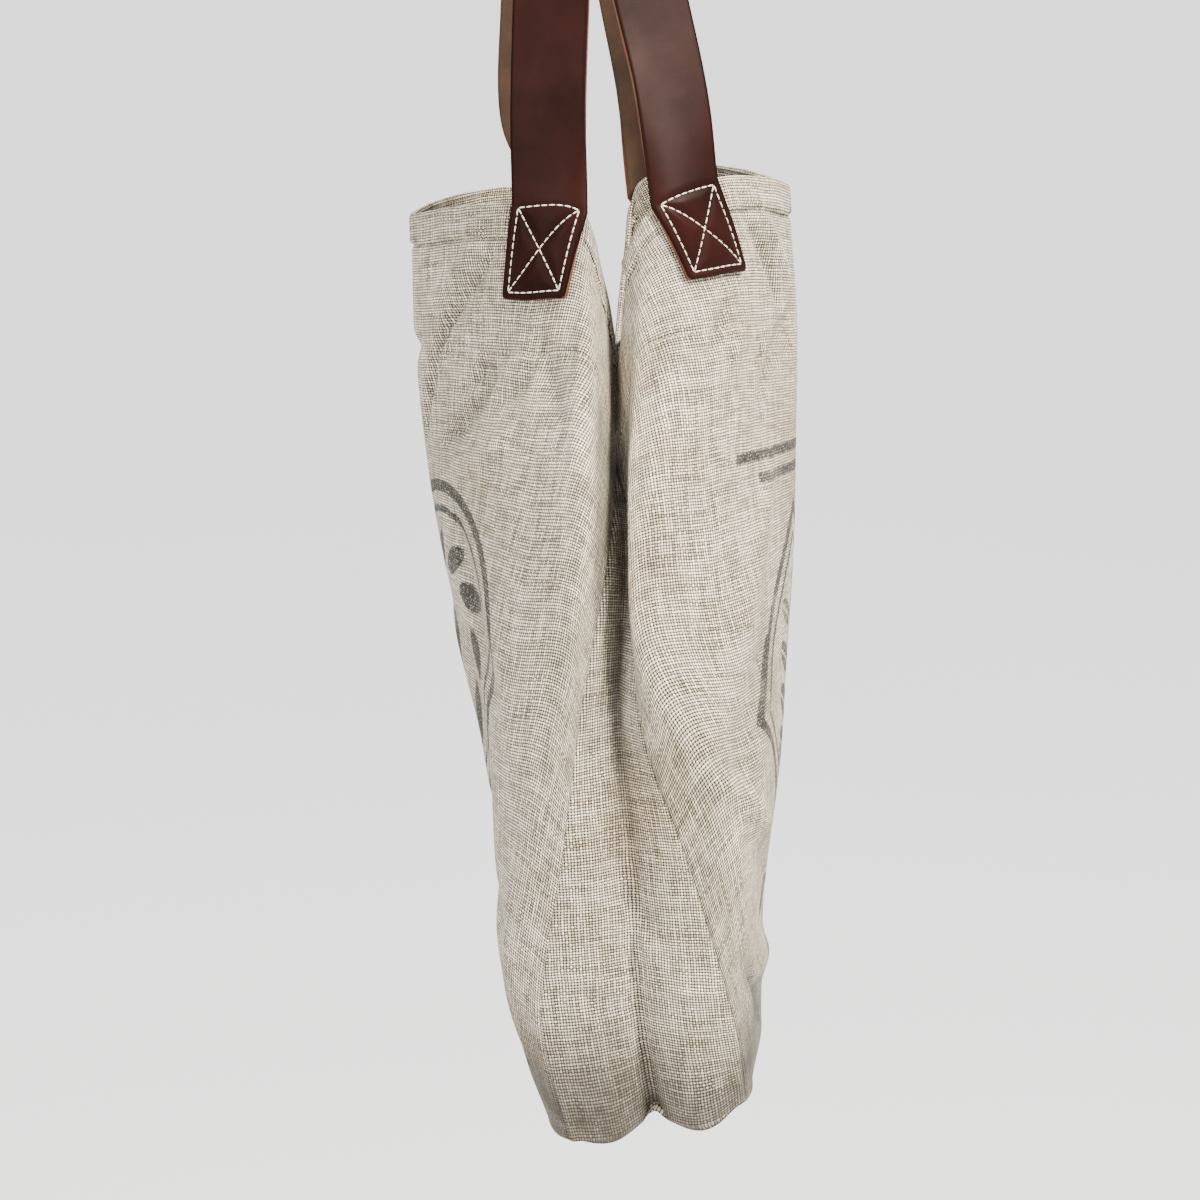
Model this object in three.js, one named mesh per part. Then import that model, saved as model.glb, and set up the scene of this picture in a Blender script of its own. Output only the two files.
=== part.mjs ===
// A tote bag sewn from used coffee sacking, empty and hanging by its two leather straps.
//
// A maker cuts a front and a back panel and one long strip that runs down one narrow side, along
// the base and up the other. The strip tapers to a point a hand's width below the rim, and above
// that the panels are sewn to each other. The rim is turned in as a deep facing, below which a
// cotton lining hangs, and two leather straps are sewn on outside.
//
// Millimetres. X runs along the bag's width, Y through its thickness, Z is up. The origin is the
// hang point, inside the top of the strap loops. Hung like this the straps draw together, so the
// panels bow out between them and the cloth beside them folds in and droops.

import * as THREE from 'three';
import { mergeVertices } from 'three/addons/utils/BufferGeometryUtils.js';

// Cut sizes of the cloth
const PANEL_WIDTH = 424;
const PANEL_HEIGHT = 425;
const FACING_DEPTH = 70; // the rim is turned in this far, so the cloth is double there
const STRIP_TOP = 78; // the strip's point, below the rim
const SACKING = 1.5; // thickness of one layer
const LINING = 1.0;
const LINING_EASE = 2.5; // the lining hangs this far inside the sacking
const LINING_TOP = 0.75; // its top edge, as a share of the way from the facing to the strip's point
const LINING_EDGE = 0.85; // the top edge lies this near to the sacking

// Leather straps
const STRAP_WIDTH = 38;
const STRAP_THICK = 3;
const STRAP_SEWN = 45; // length sewn on the panel, below the rim
const STRAP_FROM_MIDDLE = 112; // along the rim, to the strap's middle
const STRAP_LIFT = 4; // the back strap's loop lies on the front strap's at the top
const HOOK_RADIUS = 12; // what the loops hang on
const STRAP_SETTLES = 60; // above the rim, where the strap has lost the cloth's curve

// Pieces that touch are modelled this far apart
const GAP = 0.3;

const HALF_WIDTH = PANEL_WIDTH / 2;

// How each panel hangs. A row is one level of the cloth, "down" below its rim. Across it, mid is the
// bow between the straps, flank and turn lead to the narrow side, ridge is the crest of the fold,
// and seam is the edge, behind that crest while the cloth folds in.
const FRONT_ROWS = [
  { down: 0, midY: -92, flankX: 44, flankY: -68, turnX: 77, turnY: -37, ridgeX: 90, ridgeY: -4 },
  { down: 70, midY: -90, flankX: 50, flankY: -66, turnX: 93, turnY: -29, ridgeX: 113, ridgeY: 1 },
  { down: 140, midY: -84, flankX: 70, flankY: -64, turnX: 130, turnY: -28, ridgeX: 159, ridgeY: 1 },
  { down: 210, midY: -70, flankX: 84, flankY: -60, turnX: 156, turnY: -36, ridgeX: 181, ridgeY: -8 },
  { down: 280, midY: -51, flankX: 90, flankY: -48, turnX: 165, turnY: -40, ridgeX: 193, ridgeY: -25 },
  { down: 350, midY: -43, flankX: 92, flankY: -43, turnX: 166, turnY: -42, ridgeX: 196, ridgeY: -35 },
  { down: 425, midY: -20, flankX: 94, flankY: -20, turnX: 168, turnY: -19, ridgeX: 192, ridgeY: -14 },
];
const BACK_ROWS = [
  { down: 0, midY: 103, flankX: 46, flankY: 88, turnX: 74, turnY: 64, ridgeX: 94, ridgeY: 31 },
  { down: 70, midY: 108, flankX: 54, flankY: 89, turnX: 93, turnY: 62, ridgeX: 112, ridgeY: 24 },
  { down: 140, midY: 109, flankX: 68, flankY: 91, turnX: 124, turnY: 58, ridgeX: 156, ridgeY: 19 },
  { down: 210, midY: 107, flankX: 80, flankY: 95, turnX: 151, turnY: 69, ridgeX: 183, ridgeY: 24 },
  { down: 280, midY: 103, flankX: 88, flankY: 96, turnX: 166, turnY: 79, ridgeX: 193, ridgeY: 64 },
  { down: 350, midY: 96, flankX: 90, flankY: 90, turnX: 164, turnY: 80, ridgeX: 195, ridgeY: 75 },
  { down: 425, midY: 84, flankX: 92, flankY: 89, turnX: 166, turnY: 80, ridgeX: 191, ridgeY: 78 },
];

// The straps skew the cloth: how far it is drawn away from the middle beside them
const DRAWN_ROWS = [
  { down: 0, front: 3, back: -5 },
  { down: 70, front: 4, back: -16 },
  { down: 140, front: 2, back: -8 },
  { down: 210, front: 0, back: 0 },
  { down: 425, front: 0, back: 0 },
];

// The sewn edges, down the narrow side. Above the strip's point both panels share one seam. The
// valley is the strip's middle, pushed in between the panels.
const SEAM_ROWS = [
  { down: 0, frontX: 56, frontY: 14, frontZ: -342, backX: 56, backY: 14, backZ: -342 },
  { down: 70, frontX: 100, frontY: 14, frontZ: -392, backX: 100, backY: 14, backZ: -392 },
  { down: 140, frontX: 150, frontY: 10, frontZ: -434, backX: 147, backY: 25, backZ: -436 },
  { down: 210, frontX: 186, frontY: -3, frontZ: -500, backX: 180, backY: 24, backZ: -501 },
  { down: 280, frontX: 199, frontY: -12, frontZ: -568, backX: 197, backY: 47, backZ: -567 },
  { down: 350, frontX: 204, frontY: -22, frontZ: -638, backX: 203, backY: 68, backZ: -637 },
  { down: 425, frontX: 201, frontY: -9, frontZ: -703, backX: 199, backY: 76, backZ: -682 },
];
const VALLEY_ROWS = [
  { down: 70, valleyX: 100, valleyY: 14, valleyZ: -392 },
  { down: 140, valleyX: 141, valleyY: 18, valleyZ: -437 },
  { down: 210, valleyX: 164, valleyY: 15, valleyZ: -501 },
  { down: 280, valleyX: 184, valleyY: 20, valleyZ: -568 },
  { down: 350, valleyX: 193, valleyY: 24, valleyZ: -636 },
  { down: 425, valleyX: 190, valleyY: 32, valleyZ: -694 },
];

// How far the fold stands out from the middle between its ridge and its seam
const FOLD_ROWS = [
  { down: 0, frontX: 11, frontY: 2, frontZ: 3, backX: 13, backY: -6, backZ: 9 },
  { down: 70, frontX: 4, frontY: 2, frontZ: 4, backX: 3, backY: -0.5, backZ: 3 },
  { down: 140, frontX: 1.5, frontY: 0.5, frontZ: 1, backX: 0, backY: 0, backZ: 0 },
  { down: 210, frontX: 0.5, frontY: 0.5, frontZ: 0.5, backX: 0.2, backY: -0.2, backZ: 0 },
  { down: 280, frontX: 0.5, frontY: 0, frontZ: 0.5, backX: 1, backY: 0, backZ: 1 },
  { down: 350, frontX: 0.5, frontY: 0, frontZ: 0.5, backX: 1, backY: 0, backZ: 1.5 },
  { down: 425, frontX: 0, frontY: 0, frontZ: 0, backX: 0, backY: 0, backZ: 0 },
];

// Height of each line of the cloth at the rim and at the base
const FRONT_HEIGHTS = { mid: [-279, -692], flank: [-273, -696], turn: [-269, -702], ridge: [-270, -705] };
const BACK_HEIGHTS = { mid: [-264, -684], flank: [-258, -688], turn: [-257, -688], ridge: [-270, -685] };

// The far narrow side hangs as the near one does, a little slacker and turned towards the front
const FAR_WIDTH = 0.97;
const FAR_DROOP = 15; // how much lower its seam starts at the rim
const FAR_LEAN = { front: -8, back: -5 }; // how far its ridges are shifted towards the front at the rim

// Under the base the strip's middle is a fold a little above the edges, between two sagging halves
const BASE_FOLD = 0.5;
const BASE_FOLD_REACH = 0.945; // the fold is this much shorter than the base
const FRONT_SAG = 4;
const BACK_SAG = 9;

// Along a strap from the near rim over the top to the far rim, share says how far, and the Y of
// each strap's middle follows
const STRAP_ROWS = [
  { share: 0.09, frontY: -18.7, backY: 39.5 },
  { share: 0.175, frontY: -17.5, backY: 29 },
  { share: 0.335, frontY: -15, backY: 12 },
  { share: 0.5, frontY: -13, backY: -4 },
  { share: 0.665, frontY: -20, backY: 7 },
  { share: 0.825, frontY: -28, backY: 24 },
  { share: 0.91, frontY: -29.5, backY: 33 },
];

// Grid of the cloth: columns across half a panel, and rows above and below the facing's edge
const MIDDLE_COLUMNS = 4;
const STRAP_COLUMNS = 3;
const FOLD_COLUMNS = 9;
const SEWN_ROWS = 4;
const FACING_ROWS = 2;
const LOWER_ROWS = 12;
const STRIP_COLUMNS = 6;
const LEG_STEPS = 15;
const LOOP_STEPS = 12;

// A smooth curve through ys at xs, at x
function smooth(xs, ys, x) {
  let k = 0;
  while (k < xs.length - 2 && x > xs[k + 1]) k++;
  const slope = (a, b) => (ys[b] - ys[a]) / (xs[b] - xs[a]);
  const tangent = (i) => {
    if (i === 0) return slope(0, 1);
    if (i === xs.length - 1) return slope(i - 1, i);
    const before = xs[i] - xs[i - 1];
    const after = xs[i + 1] - xs[i];
    return (slope(i - 1, i) * after + slope(i, i + 1) * before) / (before + after);
  };
  const step = xs[k + 1] - xs[k];
  const t = (x - xs[k]) / step;
  return (
    ys[k] * (1 + 2 * t) * (1 - t) ** 2 +
    ys[k + 1] * t * t * (3 - 2 * t) +
    step * (tangent(k) * t * (1 - t) ** 2 - tangent(k + 1) * t * t * (1 - t))
  );
}

// A named column of a table, at a level of the cloth
function level(rows, name, down) {
  return smooth(rows.map((row) => row.down), rows.map((row) => row[name]), down);
}

// How far the ridge on a panel's far side is shifted at a level of the cloth
function farLean(panel, down) {
  return FAR_LEAN[panel.seam] * (1 - down / PANEL_HEIGHT) ** 3;
}

// The sewn edge of the "front" or "back" panel, or the strip's "valley", on one side of the bag
function seamPoint(name, down, side) {
  const rows = name === 'valley' ? VALLEY_ROWS : SEAM_ROWS;
  const [x, y, z] = ['X', 'Y', 'Z'].map((axis) => level(rows, name + axis, down));
  if (side > 0) return new THREE.Vector3(x, y, z);
  const droop = FAR_DROOP * (1 - down / PANEL_HEIGHT) ** 2;
  return new THREE.Vector3(-x * FAR_WIDTH, y, z - droop);
}

// One level of a panel from the far seam to the near one, as a dense line of points for each half
function panelLine(panel, down) {
  const height = (name) => {
    const [rim, base] = panel.heights[name];
    return rim + (base - rim) * (down / PANEL_HEIGHT);
  };
  const inner = (name, side) => {
    const x = level(panel.rows, `${name}X`, down);
    const y = level(panel.rows, `${name}Y`, down);
    return side > 0
      ? new THREE.Vector3(x, y, height(name))
      : new THREE.Vector3(-x * FAR_WIDTH, y + farLean(panel, down), height(name));
  };
  const half = (side) => ['flank', 'turn', 'ridge'].map((name) => inner(name, side));
  const edge = (side) => seamPoint(panel.seam, down, side);
  const [foldX, foldY, foldZ] = ['X', 'Y', 'Z'].map((axis) => level(FOLD_ROWS, panel.seam + axis, down));
  const fold = (side) => {
    const stands = side > 0 ? [foldX, foldY, foldZ] : [-foldX * FAR_WIDTH, 0, foldZ];
    return inner('ridge', side).lerp(edge(side), 0.5).add(new THREE.Vector3(...stands));
  };
  const middle = new THREE.Vector3(0, level(panel.rows, 'midY', down), height('mid'));
  const farHalf = [edge(-1), fold(-1), ...half(-1).reverse()];
  const points = [...farHalf, middle, ...half(1), fold(1), edge(1)];
  const along = [0];
  for (let i = 1; i < points.length; i++) along.push(along[i - 1] + points[i].distanceTo(points[i - 1]));
  const point = (s) =>
    new THREE.Vector3(...['x', 'y', 'z'].map((axis) => smooth(along, points.map((p) => p[axis]), s)));
  const dense = (from, to, steps) =>
    Array.from({ length: steps + 1 }, (_, i) => point(from + ((to - from) * i) / steps));
  const centre = along[farHalf.length];
  return { near: dense(centre, along[points.length - 1], 120), far: dense(centre, 0, 120) };
}

// The place of a share of the way along a line of points
function shareOf(line, share) {
  const lengths = [0];
  for (let i = 1; i < line.length; i++) lengths.push(lengths[i - 1] + line[i].distanceTo(line[i - 1]));
  const wanted = share * lengths[lengths.length - 1];
  let k = 1;
  while (k < lengths.length - 1 && lengths[k] < wanted) k++;
  const t = (wanted - lengths[k - 1]) / (lengths[k] - lengths[k - 1]);
  return line[k - 1].clone().lerp(line[k], t);
}

// The outer face of a panel as rows of points, at these places across and down
function panelGrid(panel, acrosses, downs) {
  return downs.map((down) => {
    const line = panelLine(panel, down);
    const drawn = level(DRAWN_ROWS, panel.seam, down) / HALF_WIDTH;
    return acrosses.map((across) => {
      const share = Math.abs(across) / HALF_WIDTH;
      return shareOf(across < 0 ? line.far : line.near, share + drawn * Math.sin(Math.PI * share));
    });
  });
}

// Even steps from one number to another
function steps(from, to, count) {
  return Array.from({ length: count + 1 }, (_, i) => from + ((to - from) * i) / count);
}

// The outward direction at each point of a grid, from its neighbours
function gridNormals(grid, sign) {
  const last = grid.length - 1;
  const end = grid[0].length - 1;
  return grid.map((row, i) =>
    row.map((_, j) => {
      const across = grid[i][Math.min(j + 1, end)].clone().sub(grid[i][Math.max(j - 1, 0)]);
      const down = grid[Math.min(i + 1, last)][j].clone().sub(grid[Math.max(i - 1, 0)][j]);
      return across.cross(down).multiplyScalar(sign).normalize();
    })
  );
}

// A closed sheet between two grids of points. The outer one faces the way that turned says, and a
// row of squares that is crossed is split along its other diagonal, to match its neighbour's split.
function sheetGeometry(outer, inner, turned, crossed = () => false) {
  const rows = outer.length;
  const columns = outer[0].length;
  const positions = [...outer.flat(), ...inner.flat()].flatMap((p) => [p.x, p.y, p.z]);
  const index = [];
  const outside = (i, j) => i * columns + j;
  const inside = (i, j) => rows * columns + outside(i, j);
  const quad = (corners, other) => {
    const [a, b, c, d] = other ? [...corners.slice(1), corners[0]] : corners;
    index.push(...(turned ? [a, c, b, a, d, c] : [a, b, c, a, c, d]));
  };
  for (let i = 0; i < rows - 1; i++) {
    const other = crossed(i);
    const last = columns - 1;
    for (let j = 0; j < last; j++) {
      quad([outside(i, j), outside(i + 1, j), outside(i + 1, j + 1), outside(i, j + 1)], other);
      quad([inside(i, j), inside(i, j + 1), inside(i + 1, j + 1), inside(i + 1, j)], other);
    }
    quad([outside(i, 0), inside(i, 0), inside(i + 1, 0), outside(i + 1, 0)], other);
    quad([outside(i, last), outside(i + 1, last), inside(i + 1, last), inside(i, last)], other);
  }
  for (let j = 0; j < columns - 1; j++) {
    const i = rows - 1;
    quad([outside(0, j), outside(0, j + 1), inside(0, j + 1), inside(0, j)], false);
    quad([outside(i, j), inside(i, j), inside(i, j + 1), outside(i, j + 1)], false);
  }
  const geometry = new THREE.BufferGeometry();
  geometry.setAttribute('position', new THREE.Float32BufferAttribute(positions, 3));
  geometry.setIndex(index);
  geometry.computeVertexNormals();
  return geometry;
}

// Where two sheets meet along a seam, the way to its inner side, as long as a depth of 1 needs
function mitre(normalA, normalB) {
  const between = normalA.clone().add(normalB);
  const cosine = Math.max(between.length() / 2, 0.35);
  return between.normalize().divideScalar(cosine);
}

// Half a panel's columns, with the strap's edges among them, and all its rows
const strapInner = STRAP_FROM_MIDDLE - STRAP_WIDTH / 2;
const strapOuter = STRAP_FROM_MIDDLE + STRAP_WIDTH / 2;
const halfAcross = [
  ...steps(0, strapInner, MIDDLE_COLUMNS),
  ...steps(strapInner, strapOuter, STRAP_COLUMNS).slice(1),
  ...steps(strapOuter, HALF_WIDTH, FOLD_COLUMNS).slice(1),
];
const across = [...halfAcross.slice(1).reverse().map((u) => -u), ...halfAcross];
const middleColumn = halfAcross.length - 1;
const facingDowns = [
  ...steps(0, STRAP_SEWN, SEWN_ROWS),
  ...steps(STRAP_SEWN, FACING_DEPTH, FACING_ROWS).slice(1),
];
const downs = [...facingDowns, FACING_DEPTH + 1, ...steps(STRIP_TOP, PANEL_HEIGHT, LOWER_ROWS)];
const firstStripRow = downs.indexOf(STRIP_TOP);

const FRONT = { seam: 'front', rows: FRONT_ROWS, heights: FRONT_HEIGHTS, sign: -1 };
const BACK = { seam: 'back', rows: BACK_ROWS, heights: BACK_HEIGHTS, sign: 1 };
for (const panel of [FRONT, BACK]) {
  panel.outer = panelGrid(panel, across, downs);
  panel.normals = gridNormals(panel.outer, panel.sign);
}

// The strip follows the panels' edges: down the near side, along the base, up the far side
const lastColumn = across.length - 1;
const lastRow = downs.length - 1;
const strip = { stations: [] };
for (let i = firstStripRow; i <= lastRow; i++) strip.stations.push({ row: i, column: lastColumn, side: 1 });
for (let j = lastColumn - 1; j > 0; j--) strip.stations.push({ row: lastRow, column: j, side: 0 });
for (let i = lastRow; i >= firstStripRow; i--) strip.stations.push({ row: i, column: 0, side: -1 });

function stripMiddle(station, front, back) {
  if (station.side !== 0) return seamPoint('valley', downs[station.row], station.side);
  const middle = front.clone().lerp(back, 0.5);
  return new THREE.Vector3(middle.x * BASE_FOLD_REACH, middle.y, middle.z + BASE_FOLD);
}

// The way the strip bellies out at a station, and how much of the sag it has
function stripBelly(station) {
  if (station.side === 0) return new THREE.Vector3(0, 0, -1);
  const share = (downs[station.row] / PANEL_HEIGHT) ** 4;
  const turn = station.row === lastRow ? -1 : 0;
  return new THREE.Vector3(station.side, 0, turn).normalize().multiplyScalar(share);
}

strip.outer = strip.stations.map((station) => {
  const front = FRONT.outer[station.row][station.column];
  const back = BACK.outer[station.row][station.column];
  const middle = stripMiddle(station, front, back);
  const belly = stripBelly(station);
  return steps(0, 1, STRIP_COLUMNS).map((share) => {
    const [from, to, t, sag] =
      share < 0.5 ? [front, middle, share * 2, FRONT_SAG] : [middle, back, share * 2 - 1, BACK_SAG];
    return from.clone().lerp(to, t).addScaledVector(belly, sag * Math.sin(Math.PI * t));
  });
});
strip.normals = gridNormals(strip.outer, -1);

// The lining hangs inside as one sack. Its front, back and strip share their seams, and its top edge
// lies against the sacking just under the facing.
const liningTop = firstStripRow - 1;
const liningRows = [liningTop, firstStripRow, firstStripRow + 1];
for (let i = firstStripRow + 2; i <= lastRow; i += 2) liningRows.push(i);

// A point of the sacking's outer face and the way in from it
function liningPlace(sheet, i, j) {
  if (sheet === strip) {
    const { row, column } = strip.stations[i];
    const seam = j === 0 || j === STRIP_COLUMNS || row === firstStripRow;
    if (seam) return liningPlace(j === 0 ? FRONT : BACK, row, column);
    return { point: strip.outer[i][j], inward: strip.normals[i][j].clone().negate() };
  }
  const k = strip.stations.findIndex(({ row, column }) => row === i && column === j);
  const point = sheet.outer[i][j];
  const normal = sheet.normals[i][j];
  if (k > -1 && i > firstStripRow) {
    const beside = strip.normals[k][sheet === FRONT ? 0 : STRIP_COLUMNS];
    return { point, inward: mitre(normal, beside).negate() };
  }
  if (j > 0 && j < lastColumn) return { point, inward: normal.clone().negate() };
  const inward = mitre(FRONT.normals[i][j], BACK.normals[i][j]).negate();
  return { point: FRONT.outer[i][j].clone().lerp(BACK.outer[i][j], 0.5), inward };
}

function liningVertex(sheet, i, j, thick) {
  const { point, inward } = liningPlace(sheet, i, j);
  if (sheet === strip || i > liningTop) {
    return point.clone().addScaledVector(inward, SACKING + LINING_EASE + thick);
  }
  const below = liningPlace(sheet, firstStripRow, j);
  const away = inward.clone().lerp(below.inward, LINING_TOP);
  return point.clone().lerp(below.point, LINING_TOP).addScaledVector(away, SACKING + LINING_EDGE + thick);
}

function liningGeometry() {
  const positions = [];
  const triangle = (a, b, c) => {
    if (Math.min(a.distanceTo(b), b.distanceTo(c), c.distanceTo(a)) < 1e-3) return;
    positions.push(...[a, b, c].flatMap((p) => [p.x, p.y, p.z]));
  };
  const quad = (a, b, c, d, turned) => {
    triangle(a, turned ? c : b, turned ? b : c);
    triangle(a, turned ? d : c, turned ? c : d);
  };
  const stationRows = strip.stations.flatMap(({ row }, k) => (liningRows.includes(row) ? [k] : []));
  const sheets = [
    { sheet: FRONT, rows: liningRows, columns: across.length, turned: false },
    { sheet: BACK, rows: liningRows, columns: across.length, turned: true },
    { sheet: strip, rows: stationRows, columns: STRIP_COLUMNS + 1, turned: false },
  ];
  for (const { sheet, rows, columns, turned } of sheets) {
    const places = steps(0, columns - 1, columns - 1);
    const layer = (thick) => rows.map((i) => places.map((j) => liningVertex(sheet, i, j, thick)));
    const outer = layer(0);
    const inner = layer(LINING);
    for (let j = 0; j < columns - 1; j++) {
      for (let i = 0; i < rows.length - 1; i++) {
        quad(outer[i][j], outer[i + 1][j], outer[i + 1][j + 1], outer[i][j + 1], turned);
        quad(inner[i][j], inner[i + 1][j], inner[i + 1][j + 1], inner[i][j + 1], !turned);
      }
      if (sheet !== strip) quad(outer[0][j], outer[0][j + 1], inner[0][j + 1], inner[0][j], turned);
    }
  }
  const soup = new THREE.BufferGeometry();
  soup.setAttribute('position', new THREE.Float32BufferAttribute(positions, 3));
  const geometry = mergeVertices(soup, 1e-3);
  geometry.computeVertexNormals();
  return geometry;
}

const liningSack = liningGeometry();

// The free part of a strap's inner face, seen along Y: up from one rim, round what it hangs on and
// down to the other rim
function loopStations(near, far, radius) {
  const centre = new THREE.Vector3(0, 0, -HOOK_RADIUS);
  const touch = (rim) => {
    const x = Math.abs(rim.x);
    const z = rim.z - centre.z;
    return Math.atan2(z, x) + Math.acos(radius / Math.hypot(x, z));
  };
  const onLoop = (angle) =>
    new THREE.Vector3(radius * Math.cos(angle), 0, centre.z + radius * Math.sin(angle));
  const nearTouch = touch(near);
  const farTouch = Math.PI - touch(far);
  const leg = (rim, top) => steps(0, 1, LEG_STEPS).map((t) => rim.clone().setY(0).lerp(top, t));
  return [
    ...leg(near, onLoop(nearTouch)),
    ...steps(nearTouch, farTouch, LOOP_STEPS).slice(1, -1).map(onLoop),
    ...leg(far, onLoop(farTouch)).reverse(),
  ];
}

// A strap: sewn on at both ends, where it takes the cloth's curve, and flat where it hangs free
function strapGeometry(panel, column, radius) {
  const columns = steps(0, STRAP_COLUMNS, STRAP_COLUMNS).map((k) => MIDDLE_COLUMNS + k);
  const sewn = (side) =>
    steps(0, SEWN_ROWS, SEWN_ROWS).map((i) =>
      columns.map((j) => {
        const place = middleColumn + side * j;
        const normal = panel.normals[i][place];
        return { point: panel.outer[i][place].clone().addScaledVector(normal, GAP), normal };
      })
    );
  const ends = { near: sewn(1), far: sewn(-1) };
  const middleOf = (row) => row[0].point.clone().lerp(row[STRAP_COLUMNS].point, 0.5);
  const widthOf = (row) => row[STRAP_COLUMNS].point.clone().sub(row[0].point).normalize();
  const near = { row: ends.near[0], middle: middleOf(ends.near[0]), width: widthOf(ends.near[0]) };
  const far = { row: ends.far[0], middle: middleOf(ends.far[0]), width: widthOf(ends.far[0]) };

  const path = loopStations(near.middle, far.middle, radius);
  const along = [0];
  for (let k = 1; k < path.length; k++) along.push(along[k - 1] + path[k].distanceTo(path[k - 1]));
  const total = along[along.length - 1];
  const shares = [0, ...STRAP_ROWS.map((row) => row.share), 1];
  const ys = [near.middle.y, ...STRAP_ROWS.map((row) => row[column]), far.middle.y];
  path.forEach((p, k) => p.setY(smooth(shares, ys, along[k] / total)));

  const top = new THREE.Vector3(0, -panel.sign, 0);
  const eased = (t) => t * t * (3 - 2 * t);
  const free = path.map((p, k) => {
    const share = along[k] / total;
    const end = share < 0.5 ? near : far;
    const upward = eased(1 - Math.abs(1 - 2 * share));
    const tangent = path[Math.min(k + 1, path.length - 1)].clone().sub(path[Math.max(k - 1, 0)]).normalize();
    const fade = eased(Math.max(0, 1 - Math.min(along[k], total - along[k]) / STRAP_SETTLES));
    const width = end.width.clone().lerp(top, upward);
    width.addScaledVector(tangent, (fade - 1) * width.dot(tangent)).normalize();
    const normal = width.clone().cross(tangent).multiplyScalar(-panel.sign).normalize();
    return end.row.map((sewnOn, j) => {
      const offset = (j / STRAP_COLUMNS - 0.5) * STRAP_WIDTH;
      const flat = p.clone().addScaledVector(width, offset);
      const bent = sewnOn.point.clone().sub(end.middle).addScaledVector(end.width, -offset);
      return {
        point: flat.addScaledVector(bent, fade),
        normal: normal.clone().lerp(sewnOn.normal, fade).normalize(),
      };
    });
  });
  const rows = [...ends.near.slice(1).reverse(), ...free, ...ends.far.slice(1)];
  const lifted = (height) => ({ point, normal }) => point.clone().addScaledVector(normal, height);
  const face = (height) => rows.map((row) => row.map(lifted(height)));
  return sheetGeometry(face(STRAP_THICK), face(0), panel === FRONT, () => true);
}

const frontStrap = strapGeometry(FRONT, 'frontY', HOOK_RADIUS);
const backStrap = strapGeometry(BACK, 'backY', HOOK_RADIUS + STRAP_LIFT);

// The inner faces of the sacking
const thickness = (i) => (i < facingDowns.length ? 2 * SACKING : SACKING);
for (const sheet of [FRONT, BACK, strip]) {
  sheet.inner = sheet.outer.map((row, i) => {
    const depth = sheet === strip ? SACKING : thickness(i);
    return row.map((p, j) => p.clone().addScaledVector(sheet.normals[i][j], -depth));
  });
}

// Sews two sheets at a point: their edges are mitred and drawn apart, so that a gap stays
function sew(first, second, thick) {
  const pointAt = (sheet, [i, j]) => sheet.outer[i][j].clone();
  const edge = pointAt(first.sheet, first.at);
  const inward = [first, second].map(({ sheet, next }) => pointAt(sheet, next).sub(edge).normalize());
  const move = GAP / Math.max(inward[0].distanceTo(inward[1]), 0.5);
  const normals = [first, second].map(({ sheet, at }) => sheet.normals[at[0]][at[1]]);
  const folded = normals[0].dot(normals[1]) < -0.2;
  [first, second].forEach(({ sheet, at }, k) => {
    const outer = edge.clone().addScaledVector(inward[k], move);
    const depth = folded ? normals[k] : mitre(...normals);
    sheet.sewn.push({ at, outer, inner: outer.clone().addScaledVector(depth, -thick) });
  });
}

for (const sheet of [FRONT, BACK, strip]) sheet.sewn = [];
for (let i = 0; i < firstStripRow; i++) {
  for (const [column, next] of [[0, 1], [lastColumn, lastColumn - 1]]) {
    const [front, back] = [FRONT, BACK].map((sheet) => ({ sheet, at: [i, column], next: [i, next] }));
    sew(front, back, thickness(i));
  }
}
strip.stations.forEach(({ row, column, side }, k) => {
  const panelEdge = { at: [row, column], next: [row === lastRow ? row - 1 : row, column - side] };
  const last = STRIP_COLUMNS;
  sew({ sheet: FRONT, ...panelEdge }, { sheet: strip, at: [k, 0], next: [k, 1] }, SACKING);
  sew({ sheet: BACK, ...panelEdge }, { sheet: strip, at: [k, last], next: [k, last - 1] }, SACKING);
});
for (const sheet of [FRONT, BACK, strip]) {
  for (const { at, outer, inner } of sheet.sewn) {
    sheet.outer[at[0]][at[1]] = outer;
    sheet.inner[at[0]][at[1]] = inner;
  }
}

const finish = (color, roughness) => new THREE.MeshStandardMaterial({ color, roughness, metalness: 0 });
const bag = new THREE.Group();

function addPiece(name, geometry, material) {
  const mesh = new THREE.Mesh(geometry, material);
  mesh.name = name;
  bag.add(mesh);
}

const cloth = 0xc5bfb3;
const leather = 0x5d3f3a;
const pastNearSide = (k) => k >= lastRow - firstStripRow;
const stripGeometry = sheetGeometry(strip.outer, strip.inner, false, pastNearSide);
addPiece('front_panel', sheetGeometry(FRONT.outer, FRONT.inner, false), finish(cloth, 0.95));
addPiece('back_panel', sheetGeometry(BACK.outer, BACK.inner, true), finish(cloth, 0.95));
addPiece('gusset_strip', stripGeometry, finish(cloth, 0.95));
addPiece('lining', liningSack, finish(0x2b5580, 0.9));
addPiece('front_strap', frontStrap, finish(leather, 0.45));
addPiece('back_strap', backStrap, finish(leather, 0.45));

export default bag;
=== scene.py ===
"""Looks of a hanging coffee sack tote bag: worn sacking, a blue lining and stitched leather straps.

The bag is cut as a front and a back panel and one long strip, and hangs empty from its straps. Each
cloth piece is a thin sheet on the folds of its solid, in millimetres until its mesh is made.
"""

from __future__ import annotations

import logging
import math
from dataclasses import dataclass, field
from enum import Enum
from typing import Any, Sequence

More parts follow.
